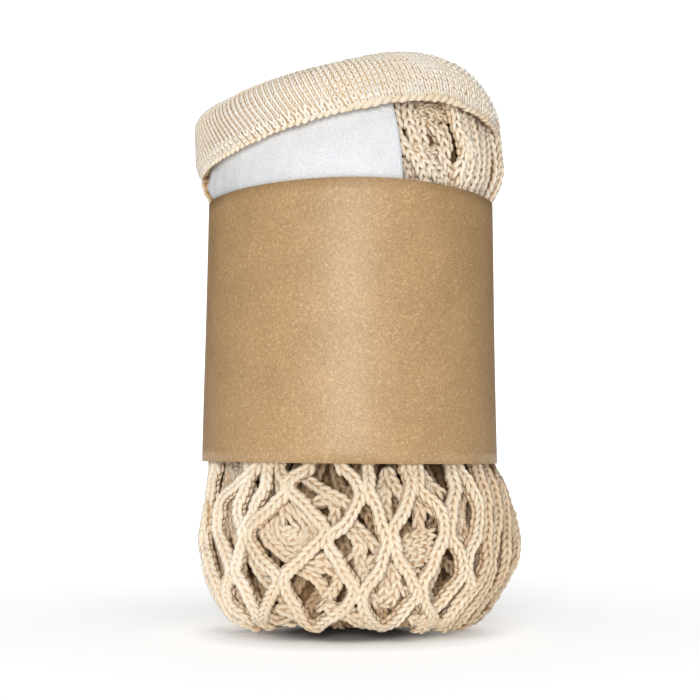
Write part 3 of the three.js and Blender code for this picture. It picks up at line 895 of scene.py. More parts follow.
# %% Side and back cords, by rule
SIDE_FROM, SIDE_TO = 82.0, 280.0
SIDE_CORDS = 28
SIDE_SWING = 4.2  # how far a cord swings towards a neighbour, in degrees
BASE_ROW = 16.8  # the cords end under the base, at this row of the table
LOOSE_PITCH, LOOSE_SIZE = 2.3, 1.0


def side_cord(k, first, last, count, depth):
    """The k-th of so many cords between two angles."""
    row = np.arange(COVERED_ROW, BASE_ROW, 0.12)
    middle = first + (last - first) * k / (count - 1)
    swing = SIDE_SWING * np.sin(math.pi * (row - COVERED_ROW) / 2 + math.pi * k + 0.5 * math.sin(2.3 * k))
    fade = np.clip((BASE_ROW - row) / 3, 0, 1)
    degrees = middle + swing * fade + 1.2 * np.sin(0.9 * row + 1.7 * k)
    from_front = abs((middle + 180) % 360 - 180)
    facing = FACING * np.clip((115 - from_front) / 30, 0, 1)
    return laid_cord(row, degrees, depth + 0.5 * np.abs(np.sin(1.1 * row + k)), facing)


side_paths = [side_cord(k, SIDE_FROM, SIDE_TO, SIDE_CORDS, OUTER_DEPTH) for k in range(SIDE_CORDS)]
LEFT_CORDS = 8  # the last ones, at the left, lie in the light and get the yarn with painted light
# the side and back cords, and the deeper round under them, are in the darker yarn with painted shade
side_net = cords(
    "side_net_cords", side_paths[:-LEFT_CORDS], PAINTED_SHADE_YARN, LOOSE_PITCH, LOOSE_SIZE,
    seed=13, stitch=side_stitch,
)
left_paths = front_paths[:TURNING] + side_paths[-LEFT_CORDS:]
left_net = cords(
    "left_net_cords", left_paths, PAINTED_LIGHT_YARN, CORD_PITCH, CORD_SIZE, seed=18, unevenness=0.1, core=0.95,
)
UNDER_FROM, UNDER_TO = 48.0, 312.0
UNDER_CORDS = 30
UNDER_DEPTH = 5.4
under_paths = [side_cord(k, UNDER_FROM, UNDER_TO, UNDER_CORDS, UNDER_DEPTH) for k in range(UNDER_CORDS)]
under_net = cords(
    "under_net_cords", under_paths, PAINTED_SHADE_YARN, LOOSE_PITCH, LOOSE_SIZE, seed=16, stitch=half_stitch,
)
print(side_net.name, "triangles:", triangles(side_net), triangles(left_net), triangles(under_net))

# %% [markdown]
# ## The crumpled layers inside
# Through the gaps more net shows, folded and pressed together, so its cords run in all directions,
# some almost level. No rule gives such chance folds, so the nearest ones at the front are traced too,
# and laid at a depth below the outer cords.

# %% Traced cords of the layers behind
SECOND_CORDS = [
    # cords of the layer behind, seen through the gaps
    [(-15.4, 46), (-9.1, 42.2), (-3.7, 38.7), (-1, 36.5)],
    [(-11.6, 39), (-8.6, 39.6), (-6.4, 37), (-7.8, 33)],
    [(-19.4, 37.8), (-16, 32.7), (-14.2, 29), (-17, 25.5), (-19.8, 20.1)],
    [(-16.4, 36.5), (-11.9, 31.8), (-11.4, 28.6), (-14, 25.6)],
    [(-23.3, 33), (-22.6, 29.5), (-19, 28), (-17.6, 30.2), (-19.4, 31.6), (-21, 30.4)],
    [(-24.3, 35.6), (-25.1, 31), (-22.4, 26.6), (-18.9, 26), (-15.8, 28)],
    [(-27.4, 32), (-26.8, 28), (-22.7, 24), (-19.6, 21.8)],
    [(-33.7, 32), (-35.8, 28.5), (-34, 25)],
    [(-31.5, 21.3), (-29.5, 17), (-25.2, 12.6)],
    [(-13.8, 22), (-9.6, 22.2), (-5.2, 20.2)],
    [(-14, 20), (-9.8, 19.2), (-5, 17.2)],
    [(-17.5, 18.5), (-11.9, 14.7), (-8.6, 9.6)],
    [(-4.6, 19), (-6.2, 13.4), (-8.8, 9.7), (-9.8, 6)],
    [(-23, 11.8), (-21.4, 9), (-19.8, 5.8)],
    [(-28.4, 46.3), (-27.9, 42), (-30.8, 35)],
    [(-23, 47), (-22.6, 41), (-21.2, 34)],
    [(-37.5, 47.6), (-35.2, 43), (-33.8, 38)],
    [(9.2, 47.2), (7.9, 44.4), (6.5, 41)],
    [(9.8, 47), (11.7, 44.1), (14, 40.8)],
    [(8.9, 42), (8.8, 37.5), (9.4, 33.6)],
    [(17, 39.8), (19.4, 36.5), (19, 33.6), (19.8, 30.6)],
    [(19.6, 47), (22.2, 44.7), (25.2, 41.8)],
    [(18.8, 45.5), (21, 43), (21.3, 40)],
    [(28, 30.2), (30.4, 31.5), (32.8, 32.6)],
    [(28.3, 29.2), (30.6, 27.6), (31, 25)],
    [(30, 41.4), (30.3, 37), (30.8, 33)],
    [(9.2, 22.4), (9.4, 18.4), (8.1, 9)],
    [(10.5, 19), (12, 13.5), (10.3, 9)],
    [(3, 12), (5.4, 9), (8, 6.5)],
    [(-1.6, 32.8), (3.2, 28.6), (7.4, 23.8)],
    [(-1.8, 30.2), (0.8, 26.4), (-0.8, 22.2)],
    [(1.7, 25.5), (1, 21), (2.6, 15.5)],
    [(1.8, 19.3), (7, 22.2)],
    [(14.4, 12), (17.2, 9.4), (17.4, 6.6)],
    [(20.3, 16), (20.6, 12), (22.2, 9)],
    [(23, 24), (24.4, 20), (22, 13.6)],
    [(-4.6, 8), (-1.3, 7), (0.9, 5.1), (3.8, 3.7)],
    [(-21, 7.8), (-18, 6.4), (-15.4, 5.6)],
    [(-25, 6), (-22.4, 3.6), (-18.4, 3.2)],
    [(15.6, 5.2), (19, 4), (23, 4.4)],
    [(-7.6, 8.4), (-3.4, 6), (0.6, 3.6), (4, 2.6)],
    [(25.3, 25.2), (23.7, 21.1), (21.5, 17.3), (19.6, 13.2)],
    [(-24.3, 13.2), (-22.4, 10.3), (-20.5, 7.5), (-19.9, 5.9)],
    [(20.8, 44.6), (20, 40), (21.6, 36)],
]
BUNCHED_CORDS = [
    # pressed yarn that lies nearly level in the gaps
    [(13, 26.7), (17, 29.4), (22.4, 29.9)],
    [(13.6, 25.1), (17.1, 26.9), (22, 28)],
    [(14.1, 23.6), (17.7, 25.1), (21.8, 26.1)],
    [(14.7, 22), (18.4, 23.2), (21.7, 24.2)],
    [(15.7, 20.2), (18.7, 21.3), (21.2, 22)],
    [(14.4, 18.8), (17.4, 17.4)],
]
print("traced cords behind:", len(SECOND_CORDS), "and bunched:", len(BUNCHED_CORDS))

# %% Second layer and bunched yarn
SECOND_DEPTH = 5.4
BASE_DEPTH = 2.8  # near the base the layers are pressed against the face
BASE_HEIGHT = 9.0
BUNCHED_DEPTH, BUNCHED_SIZE = 5.0, 0.78


def unled(points, depth):
    """A traced cord that stops where its points stop."""
    row, degrees = seen_on_net(rounded_path(points, 0.5))
    return laid_cord(row, degrees, np.full_like(row, depth))


second_paths = []
for i, points in enumerate(SECOND_CORDS):
    depth = SECOND_DEPTH if points[0][1] > BASE_HEIGHT else BASE_DEPTH
    second_paths.append(unled(points, depth + 0.5 * (i % 3)))
second = cords("second_net_cords", second_paths, YARN, CORD_PITCH, CORD_SIZE, seed=14)
bunched_paths = [unled(points, BUNCHED_DEPTH) for points in BUNCHED_CORDS]
bunched = cords("bunched_yarn", bunched_paths, YARN, CORD_PITCH, BUNCHED_SIZE, seed=15, unevenness=0.15)
print(second.name, "triangles:", triangles(second) + triangles(bunched))

# %% [markdown]
# ## Deeper cords
# Further in only a shaded tangle can be made out. Cords that wander down the roll, each with its own
# sweep and sway from a fixed seed, read as folded net and stay the same in every run.

# %% Inner cords
INNER_TOP_ROW, INNER_END_ROW = 7.2, 15.8
INNER_POINTS = 70


def base_rise(row):
    """The layers inside come nearer to the face towards the base, where the roll closes."""
    return 4.5 * np.clip((row - 12) / 3, 0, 1)


def wandering_cord(start, sweep, depth, sway, phase):
    row = np.linspace(INNER_TOP_ROW, INNER_END_ROW, INNER_POINTS)
    share = np.linspace(0, 1, INNER_POINTS)
    degrees = start + sweep * share + sway * np.sin(2 * math.pi * (1.6 * share + phase))
    sunk = depth + 1.4 * np.sin(2 * math.pi * (2.3 * share + 1.7 * phase)) - base_rise(row)
    return on_net(row, degrees, sunk)


INNER_CORDS = 64
inner_paths = [
    wandering_cord(
        360 * k / INNER_CORDS + rng.uniform(-3, 3),
        rng.uniform(-28, 28),
        rng.uniform(9.0, 11.5),
        rng.uniform(3, 8),
        rng.uniform(0, 1),
    )
    for k in range(INNER_CORDS)
]
# the inner cords are in the dark yarn with painted shade
inner = cords("inner_cords", inner_paths, INNER_SHADE_YARN, LOOSE_PITCH, LOOSE_SIZE, seed=12, stitch=half_stitch)
print(inner.name, "triangles:", triangles(inner))

# %% [markdown]
# ## The core of the roll
# The middle of the roll is layer on layer of net in the dark. One pleated shell stands for them and
# stops the view between the cords, and its dark brown is painted shade, as the yarn inside is the same
# cream. It is drawn through rings of points, as the rim's wall, the grounds and the sleeve are later,
# so the helper that joins rings comes first.

# %% Closed shells from rings, and the core of the roll


def ring_mesh(name, rings, material, joined=False):
    """A closed mesh through rings of points, with caps, or joined from the last ring to the first."""
    rings = np.asarray(rings)
    count, size = rings.shape[:2]
    faces = []
    for i in range(count if joined else count - 1):
        near, far = i * size, ((i + 1) % count) * size
        for j in range(size):
            n = (j + 1) % size
            faces.append((near + j, far + j, far + n, near + n))
    if not joined:
        faces.append(tuple(range(size)))
        faces.append(tuple(reversed(range((count - 1) * size, count * size))))
    mesh = bpy.data.meshes.new(name)
    mesh.from_pydata([tuple(p) for p in rings.reshape(-1, 3) * MM], [], faces)
    mesh.polygons.foreach_set("use_smooth", [True] * len(faces))
    mesh.materials.append(material)
    mesh.update()
    piece = bpy.data.objects.new(name, mesh)
    scene.collection.objects.link(piece)
    return piece


CORE_TOP, CORE_COVERED = 138, 50  # heights between which the sleeve and the rim cover the core
CORE_DEPTH = 13.0
PLEATS = 31
PLEAT_DEPTH = 1.6
covered_rows = np.linspace(row_at(CORE_TOP), row_at(CORE_COVERED), 20)
core_rows = np.concatenate([covered_rows, np.linspace(7.8, 16.0, 30)])
core_degrees = np.arange(0, 360, 2.0)
core_rings = []
for row in core_rows:
    stray = 1.5 * np.sin(row + np.radians(3 * core_degrees))
    pleat = PLEAT_DEPTH * np.sin(np.radians(PLEATS * core_degrees) + stray)
    depth = CORE_DEPTH - base_rise(row) - 4.4 * np.clip((row - 13) / 2.5, 0, 1)
    core_rings.append(on_net(np.full_like(core_degrees, row), core_degrees, depth + pleat)[0])
for close in (0.6, 0.02):
    core_rings.append(core_rings[-1] * (close, close, 1))
# the shell's dark brown is painted shade
core = ring_mesh("roll_core", core_rings, PAINTED_SHADE_KNIT)
print(core.name, "triangles:", triangles(core))

# %% [markdown]
# ## The rim band
# The bag's mouth is a dense knitted band, turned down over the roll. Its section is a folded wall:
# the hem, the face, a rounded shoulder, the crest, and a leg that hangs inside. A bent strip with a
# modifier would stretch where the crest climbs, so the table of the rim's solid is repeated here, and
# the section is worked out at every degree and at small steps along it.

# %% Table of the rim
RIM_BAND = np.array([
    # angle, hem, crest, lean, shoulder, standoff, tuck
    (-180, 129.0, 148.6, 7, 7, 1.1, 0.4),
    (-150, 129.0, 148.2, 6, 6.5, 1.1, 0.4),
    (-120, 131.4, 149.0, 4, 4.5, 1.9, 0.8),
    (-95, 133.0, 149.8, 2.6, 3.6, 2.5, 1.8),
    (-80, 132.2, 150.4, 3.6, 4.2, 2.7, 1.8),
    (-55, 135.2, 152.0, 6, 6, 2.6, 1.4),
    (-37, 138.1, 154.2, 6.5, 6.5, 2.8, 1.2),
    (-24, 140.8, 156.0, 7, 7, 3.0, 1.0),
    (-10, 143.6, 158.0, 7.5, 7.5, 3.0, 1.0),
    (0, 145.6, 159.6, 8, 8, 3.0, 1.0),
    (14, 147.8, 161.6, 9, 8.5, 3.0, 1.0),
    (27, 149.0, 162.2, 8.5, 8, 3.2, 0.8),
    (38, 149.4, 161.9, 8, 7.5, 3.6, 0.6),
    (52, 147.8, 160.6, 7, 7.5, 3.7, 0.6),
    (67, 146.2, 157.8, 8, 7.5, 3.6, 0.6),
    (76, 145.2, 155.6, 9, 8, 3.4, 0.6),
    (84, 144.0, 153.4, 9, 8.5, 2.9, 0.6),
    (92, 141.5, 151.8, 9, 9, 2.4, 0.4),
    (120, 130.5, 150.2, 8, 9, 1.6, 0.4),
    (150, 129.0, 149.2, 7.5, 8, 1.1, 0.4),
    (180, 129.0, 148.6, 7, 7, 1.1, 0.4),
])
RIM_DEGREES = np.arange(-180, 180)


def rim_columns():
    wrapped = np.concatenate([RIM_DEGREES - 360, RIM_DEGREES, RIM_DEGREES + 360])
    looked_up = [np.interp((wrapped + 180) % 360 - 180, RIM_BAND[:, 0], c) for c in RIM_BAND.T[1:]]
    return smoothed(np.stack(looked_up, axis=1), 4)[360:720]


RIM = rim_columns()
HEM, STANDOFF = 0, 4  # columns of RIM
print("rim table at every degree:", RIM.shape)

# %% Surface of the band
BAND_THICK = 3.0
BAND_RETURN = 8.0  # from the crest's outer edge in to the leg that hangs inside
BAND_FACE_HEIGHT = 141.0  # the face stands off the net's section at this height
RIM_STEP = 0.4
RIM_LENGTH = 38.0


def run_along(points):
    """The length of a path up to each of its points."""
    return np.concatenate([[0], np.cumsum(np.linalg.norm(np.diff(points, axis=0), axis=1))])


def rim_path(band):
    """The middle of the band's wall, as (inset, height) at even steps from the hem."""
    hem, crest, lean, shoulder, _, tuck = band
    turn = np.radians([0, 20, 40, 60, 76])
    shape = [
        (tuck, hem + 0.4),
        (0.6 * tuck, hem + 2),
        (0.2 * tuck, hem + 4),
        *zip(lean * (1 - np.cos(turn)), crest - shoulder * (1 - np.sin(turn))),
        (lean, crest),
        (lean + 0.35 * BAND_RETURN, crest - 0.4),
        (lean + 0.75 * BAND_RETURN, crest - 2.4),
        (lean + BAND_RETURN, crest - 6),
        (lean + BAND_RETURN, crest - 14),
        (lean + BAND_RETURN, crest - 22),
    ]
    shape = np.array(sorted(shape[:3], key=lambda p: p[1]) + shape[3:])
    shape[:, 1] -= BAND_THICK / 2
    even = np.arange(0, RIM_LENGTH, RIM_STEP)
    path = np.stack([np.interp(even, run_along(shape), c) for c in shape.T], axis=1)
    return smoothed(path, 3)


def rim_grid():
    grid = []
    for degrees, band in zip(RIM_DEGREES, RIM):
        face_row = row_at([max(BAND_FACE_HEIGHT, band[HEM])])
        face = oval(net_row(face_row), np.array([degrees]), band[STANDOFF] + BAND_THICK / 2)[0]
        inward = -np.array([face[0], face[1], 0]) / np.hypot(face[0], face[1])
        path = rim_path(band)
        points = face + path[:, :1] * inward
        points[:, 2] = path[:, 1]
        grid.append(points)
    return np.array(grid)


RIM_GRID = rim_grid()
rim_side = np.roll(RIM_GRID, -1, axis=0) - np.roll(RIM_GRID, 1, axis=0)
rim_rise = np.gradient(RIM_GRID, axis=1)
RIM_OUT = unit(np.cross(rim_side, rim_rise))
print("rim grid:", RIM_GRID.shape)

# %% Places on the band


def on_rim(degrees, length, lift):
    """Points at an angle and a length from the hem, lifted off the middle of the wall."""
    spot = (np.asarray(degrees, float) + 180) % 360
    near = np.floor(spot).astype(int) % 360
    far, a = (near + 1) % 360, (spot - np.floor(spot))[..., None]
    step = np.clip(np.asarray(length, float) / RIM_STEP, 0, RIM_GRID.shape[1] - 1.001)
    low = np.floor(step).astype(int)
    b = (step - low)[..., None]

    def blend(grid):
        return (1 - a) * ((1 - b) * grid[near, low] + b * grid[near, low + 1]) + a * (
            (1 - b) * grid[far, low] + b * grid[far, low + 1]
        )

    out = unit(blend(RIM_OUT))
    return blend(RIM_GRID) + lift * out, out


print("hem at the front:", on_rim(0, 0, 0)[0].round(1))

# %% [markdown]
# ## Stitches of the band
# Knitting runs in columns. On this rim they lean to the left on their way up, stand close in the middle
# and are drawn out at both sides, so two short tables give the lean and the width round the rim. A
# stitch on each crossing of a column and a row takes its size from the room that it has there.

# %% Columns of the band
WALE_LEAN = np.array([
    # angle, shift to the left for each unit up the face
    (-180, 0.0),
    (-130, 0.2),
    (-90, 0.7),
    (-40, 0.75),
    (0, 0.45),
    (35, 0.35),
    (70, 0.15),
    (100, 0.0),
    (180, 0.0),
])
WALE_WIDTH = np.array([
    # angle, width of a column: close in the middle, drawn out at both sides
    (-180, 2.0),
    (-110, 2.0),
    (-60, 1.95),
    (-30, 1.55),
    (-5, 1.35),
    (12, 1.7),
    (30, 2.1),
    (60, 2.6),
    (95, 2.6),
    (130, 2.2),
    (180, 2.0),
])
HEM_WIDTH = np.array([(-180, 2.1), (180, 2.1)])
BAND_PER_DEGREE = 0.77  # length of the band for each degree


def band_wales(widths):
    """Angles of the columns, from their width in each place."""
    degrees = np.arange(-180, 180, 0.5)
    count = np.cumsum(0.5 * BAND_PER_DEGREE / np.interp(degrees, *widths.T))
    wales = round(count[-1])
    return np.interp(np.arange(wales) + 0.5, count * wales / count[-1], degrees)


print("columns of the face and of the hem:", len(band_wales(WALE_WIDTH)), len(band_wales(HEM_WIDTH)))

# %% Stitches of the band
BAND_RADIUS = 44.0
FIRST_COURSE = 4.4  # the hem's edge fills the wall below this
HEM_COURSES = np.array([1.5, 3.0])  # two rows of larger stitches stand on the edge
FACE_COURSES = 13
INSIDE_COURSES = 8
STITCH_LIFT = BAND_THICK / 2 - 0.55
SQUARE_UP_TO = 15.0  # the columns run square to the hem as far as this


def band_stitches(
    name, course, stitch, seed, first=-180, last=180,
    tall=1.0, bold=1.0, widths=WALE_WIDTH, uneven=0.08, yarn=RIM_YARN,
):
    """Rows of stitches between two angles. course is each row's length from the hem."""
    wale = band_wales(widths)
    wale = wale[(wale >= first) & (wale < last)]
    slope = np.interp(wale, *WALE_LEAN.T)

    def place(length):
        reach = np.minimum(length, SQUARE_UP_TO)
        degrees = wale[:, None] - np.degrees(slope[:, None] * reach[None, :] / BAND_RADIUS)
        return on_rim(degrees, np.broadcast_to(length, degrees.shape), STITCH_LIFT)

    points, out = place(course)
    along = unit(place(course + 0.4)[0] - place(course - 0.4)[0])
    beside = np.gradient(points, axis=0)
    width = np.linalg.norm(beside, axis=2)
    square = np.abs(np.sum(unit(beside) * along, axis=2))
    width = width * np.sqrt(1 - square**2) / SHEET_WALE
    size = np.stack([width, np.full_like(width, tall), bold * np.clip(width, 0.75, 1.25)], axis=2)
    guide = guide_mesh(
        name, points.reshape(-1, 3), [], out=out.reshape(-1, 3),
        along=along.reshape(-1, 3), size=size.reshape(-1, 3),
    )
    return grown(name, guide, SHEET_TREE, Stitch=stitch, Unevenness=uneven, Seed=seed, Yarn=yarn)


courses = FIRST_COURSE + SHEET_COURSE * np.arange(FACE_COURSES + INSIDE_COURSES)
RIBS_FROM, RIBS_TO = -160, -5  # here the columns stand out as ribs
rim_ribs = band_stitches(
    "rim_ribs", courses[:FACE_COURSES], rib_stitch, seed=21, first=RIBS_FROM, last=RIBS_TO,
)
rim_back = band_stitches(
    "rim_stitches_back", courses[:FACE_COURSES], sheet_stitch, seed=25, last=RIBS_FROM,
)
rim_right = band_stitches(
    "rim_stitches_right", courses[:FACE_COURSES], sheet_stitch, seed=26, first=RIBS_TO,
    bold=1.3, uneven=0.14, yarn=WARM_YARN,
)
rim_inside = band_stitches("rim_inside_stitches", courses[FACE_COURSES:], sheet_stitch, seed=22)
hem_row = band_stitches(
    "hem_stitches", HEM_COURSES, sheet_stitch, seed=24,
    tall=1.3, bold=1.25, widths=HEM_WIDTH, uneven=0.16, yarn=WARM_YARN,
)
for piece in (rim_ribs, rim_back, rim_right, rim_inside, hem_row):
    print(piece.name, "triangles:", triangles(piece))

# %% [markdown]
# ## The wall of the band
# Between the stitches the real band is closed by the yarn behind them. A thin wall through the middle of
# the band does the same, a little under the stitches and lowest where the columns turn at the right. Its
# tan is painted shade, where the cream yarn lies behind the stitches.

# %% Wall behind the stitches
WALL_INSIDE = -1.2
WALL_ANGLES = (60, 74, 112, 126)
WALL_LIFTS = (0.9, 0.4, 0.4, 0.9)
wall_end = FIRST_COURSE + SHEET_COURSE * (FACE_COURSES + INSIDE_COURSES)
wall_lengths = np.arange(0.6, wall_end, 1.2)
wall_rings = []
for degrees in np.arange(-180, 180, 2.0):
    lift = np.interp(degrees, WALL_ANGLES, WALL_LIFTS)
    outer = on_rim(np.full_like(wall_lengths, degrees), wall_lengths, lift)[0]
    inner_face = on_rim(np.full_like(wall_lengths, degrees), wall_lengths[::-1], WALL_INSIDE)[0]
    wall_rings.append(np.concatenate([outer, inner_face]))
rim_wall = ring_mesh("rim_wall", wall_rings, RIM_SHADE_GROUND, joined=True)
print(rim_wall.name, "triangles:", triangles(rim_wall))

# %% [markdown]
# ## The cast-off edge
# The last row of a knitted cloth is cast off, each loop drawn over the next. At the right that makes a
# rope of long lobes, over the label a row of knots, and at the far left a thin edge. All three are cords
# along the hem with an edge stitch in place of the V.

# %% Cast-off edge of the hem
HEM_ROPE_FROM = -2  # from here round to the back the edge is a rope
HEM_THIN_TO = -62  # and up to here, from the back, it is thin


def chain(length, lift, first, last):
    """A path along the hem, at a length up the wall and a lift off its middle."""
    degrees = np.arange(first, last + 1.0)
    return on_rim(degrees, np.full_like(degrees, length), lift)


hem_rope = cords(
    "hem_rope", [chain(length=0.5, lift=0.8, first=HEM_ROPE_FROM, last=180)], YARN, pitch=2.5, size=1.0,
    seed=23, stitch=edge_stitch, unevenness=0.18, core=0.3,
)
KNOT_ROWS = [
    # name, path, pitch, size, seed
    ("hem_knots", chain(length=0.3, lift=0.9, first=HEM_THIN_TO, last=HEM_ROPE_FROM), 2.1, 1.1, 27),
    ("hem_thin_edge", chain(length=0.4, lift=0.8, first=-180, last=HEM_THIN_TO), 1.2, 0.66, 28),
]
# the knots are in the yarn with painted light
hem_knots, hem_thin = (
    cords(name, [row], PAINTED_LIGHT_YARN, pitch, size, seed, stitch=knot_stitch, unevenness=0.22, core=0.45)
    for name, row, pitch, size, seed in KNOT_ROWS
)
print(hem_rope.name, "triangles:", triangles(hem_rope) + triangles(hem_knots) + triangles(hem_thin))

# %% [markdown]
# ## The net above the sleeve
# Between the sleeve and the rim the net is pressed together, so its cords stand close and sway only a
# little. Round the back they are laid by rule. At the left edge a few more hang out from the hem in a
# small bulge.

# %% Upper net
UPPER_LOW = 120.0
UPPER_DEPTH = 2.1
UPPER_POINTS = 26
UPPER_ANGLES = np.arange(90, 286, 4.6)
BULGE_ANGLES = (259, 264, 269)
BULGE_SHARES = (0, 0.27, 0.36, 0.52, 0.72, 1)  # of the way down
BULGE_DEPTHS = (-0.8, -2.2, -2.8, -2.2, -0.6, 0.6)


def hem_at(degrees):
    """The height of the hem at an angle."""
    return np.interp((np.asarray(degrees) + 180) % 360 - 180, RIM_DEGREES, RIM[:, HEM])


def upper_cord(start, depth, phase):
    top = float(hem_at(start)) + 3.5
    height = np.linspace(top, UPPER_LOW, UPPER_POINTS)
    share = np.linspace(0, 1, UPPER_POINTS)
    degrees = start + 1.6 * np.sin(2 * math.pi * (share * (top - UPPER_LOW) / 17 + phase))
    return on_net(row_at(height), degrees, depth)


bulge_depth = np.interp(np.linspace(0, 1, UPPER_POINTS), BULGE_SHARES, BULGE_DEPTHS)
upper_paths = [
    upper_cord(angle, depth, 0.5 * (i % 2))
    for angles, depth in ((UPPER_ANGLES, UPPER_DEPTH), (BULGE_ANGLES, bulge_depth))
    for i, angle in enumerate(angles)
]
upper = cords("upper_net_cords", upper_paths, YARN, CORD_PITCH, CORD_SIZE, seed=31)
print(upper.name, "triangles:", triangles(upper))

# %% [markdown]
# ## The window between label and strap
# Right of the label the net shows again, drawn together to a few thick cords with pressed yarn under the
# hem. They are traced like the cords below, in the yarn with painted light, and a ground painted in brown
# shade closes the gaps between them.

# %% Cords between the label and the strap, traced
WINDOW_CORDS = [
    # points (across, height) down one cord, then how deep it lies
    ([
        (10, 147.5), (10.5, 144.4), (11.1, 141.6), (11.5, 138.7), (12.1, 136.3), (13.5, 134),
        (15.3, 131.2), (16.4, 129.5), (17.8, 126.9), (20.6, 121.5),
    ], 2.0),
    ([
        (13.9, 147.6), (14.1, 144.6), (14.3, 142.2), (15.1, 139.5), (16, 137.1), (17, 134.4),
        (18, 131.4), (19.4, 128.9), (20.9, 126.7), (24.3, 121.5),
    ], 2.0),
    ([
        (16.4, 147.6), (16.8, 144.6), (17.6, 142.2), (18.2, 139.5), (18.6, 137.1), (19.4, 134.4),
        (20.2, 131.8), (21.3, 129.3), (23.1, 127.1), (24.7, 124.9), (25.9, 121.5),
    ], 2.4),
    ([(19.8, 140.6), (22.3, 138.7), (24.2, 136.3), (25.3, 134.4), (25.5, 132)], 2.6),
    ([(20.6, 141.4), (22.9, 140.2), (24.3, 137.9), (25.2, 135.5)], 3.6),
    ([(23.1, 132.8), (24.4, 130.4), (25.5, 128.5), (26.1, 126.5), (26.4, 121.5)], 2.6),
    ([(11.6, 131.4), (13.5, 129.3), (15.1, 127.5), (16, 126.1), (18.4, 121.5)], 4.6),
    ([(12, 127.4), (13.5, 124.9), (14.6, 121.5)], 5.2),
    ([(18, 140), (20.4, 135), (19, 129), (20.6, 123)], 6.4),
    ([(24.4, 141.6), (25.8, 138), (26.8, 134.5), (26.4, 131), (26.8, 126)], 3.4),
    ([
        (22.5, 146.8), (23.4, 145), (24.9, 142.1), (25.5, 139.3), (26.5, 136.6), (28.5, 133.8),
        (29.4, 131.4),
    ], -1.4),
    ([(27.7, 134.6), (28.2, 131), (27.1, 128), (26.5, 126.4), (26.3, 121.5)], -0.6),
]
WINDOW_BUNCH = [
    # pressed yarn under the hem, and one end that crosses the cords
    [(17.6, 146.3), (20.6, 145.9), (23, 145.3)],
    [(18, 144.9), (20.8, 144.7), (23.4, 144.2)],
    [(18.2, 143.4), (20.8, 143.6), (23.4, 142.9)],
    [(21.2, 142.4), (24.8, 141.6)],
    [(22.2, 143.6), (24, 142.9), (25.2, 141.6)],
    [(16.9, 141.8), (19, 141.3), (20.8, 140.6)],
    [(16.8, 133.2), (18.6, 132.8), (20.2, 132.2), (21.7, 132.6)],
]
window_paths = [unled(points, depth) for points, depth in WINDOW_CORDS]
window = cords(
    "window_net_cords", window_paths, PAINTED_LIGHT_YARN, pitch=2.35, size=0.94, seed=32, unevenness=0.15, core=0.3,
)
window_bunch_paths = [unled(points, depth=1.5) for points in WINDOW_BUNCH]
window_bunch = cords("window_bunched_yarn", window_bunch_paths, YARN, pitch=1.9, size=0.68, seed=33)
print(window.name, "triangles:", triangles(window) + triangles(window_bunch))

# %% Ground of the window
GROUND_LOW, GROUND_TOP = 119.5, 147.0
GROUND_THICK = 0.9


def ground_patch(name, first, last, depths, material):
    """Cloth behind the stitches between two angles, with depths at even steps."""
    row = row_at(np.linspace(GROUND_LOW, GROUND_TOP, 24))
    rings = []
    for degrees in np.linspace(first, last, 24):
        depth = np.interp(degrees, np.linspace(first, last, len(depths)), depths)
        outer = on_net(row, np.full_like(row, degrees), depth)[0]
        under = on_net(row[::-1], np.full_like(row, degrees), depth + GROUND_THICK)[0]
        rings.append(np.concatenate([outer, under]))
    return ring_mesh(name, rings, material)


window_ground = ground_patch("window_ground", first=6, last=54, depths=(6.6, 3.2), material=WINDOW_SHADE_GROUND)
print(window_ground.name, "triangles:", triangles(window_ground))

# %% [markdown]
# ## The knitted strap
# At the right a denser strip comes up from under the sleeve and goes in under the rim. Its wide columns
# of stitches are few and bend with the strip, so three of them are traced, the four that are made lie
# between and beside those, and each is a cord of half stitches. Its edge is drawn to a rope, and a
# fold of the net stands behind it.

# %% Knitted strap
STRAP_COLUMNS = [
    # points (across, height) down three of its columns of stitches
    [
        (27.2, 147), (28.1, 142.8), (28.9, 139.3), (29.5, 136.6), (30.2, 132.6), (30.6, 129.5),
        (30.4, 127.1), (29.6, 124.2), (28.6, 119.5),
    ],
    [(29.8, 147), (32.2, 140.3), (33.2, 135.8), (33.6, 132), (33.4, 128.1), (33, 125.2), (31.8, 119.5)],
    [
        (32.4, 146), (35, 138.1), (35.5, 134.6), (35.7, 131.1), (35.5, 127.1), (35.2, 123.2),
        (34.4, 119.5),
    ],
]
STRAP_LIFT_ROWS = (row_at(129), row_at(125))  # it goes in under the sleeve, so it lies lower there
STRAP_LIFTS = (1.2, 0.3)
STRAP_FACING = 1.5
STRAP_COURSE = 2.05
STRAP_SIZE = 0.9
STRAP_WALES = (51.5, 57.2, 63.6, 71)  # angles of the columns
STRAP_POINTS = 60


def even_points(points, count):
    """Points at even steps on the rounded path through a few points."""
    path = rounded_path(points, 0.4)
    run = run_along(path)
    return np.stack([np.interp(np.linspace(0, run[-1], count), run, c) for c in path.T], axis=1)


traced_columns = [seen_on_net(even_points(points, STRAP_POINTS)) for points in STRAP_COLUMNS]
middles = [degrees[STRAP_POINTS // 2] for _, degrees in traced_columns]
strap_paths = []
for middle in STRAP_WALES:
    share = np.interp(middle, middles, range(3))
    low = min(int(share), 1)
    near, far = traced_columns[low : low + 2]
    row, degrees = ((low + 1 - share) * a + (share - low) * b for a, b in zip(near, far))
    degrees = degrees + middle - np.clip(middle, middles[0], middles[-1])
    lift = np.interp(row, STRAP_LIFT_ROWS, STRAP_LIFTS)
    points, out = laid_cord(row, degrees, -lift, STRAP_FACING)
    strap_paths.append((points[::-1], out[::-1]))
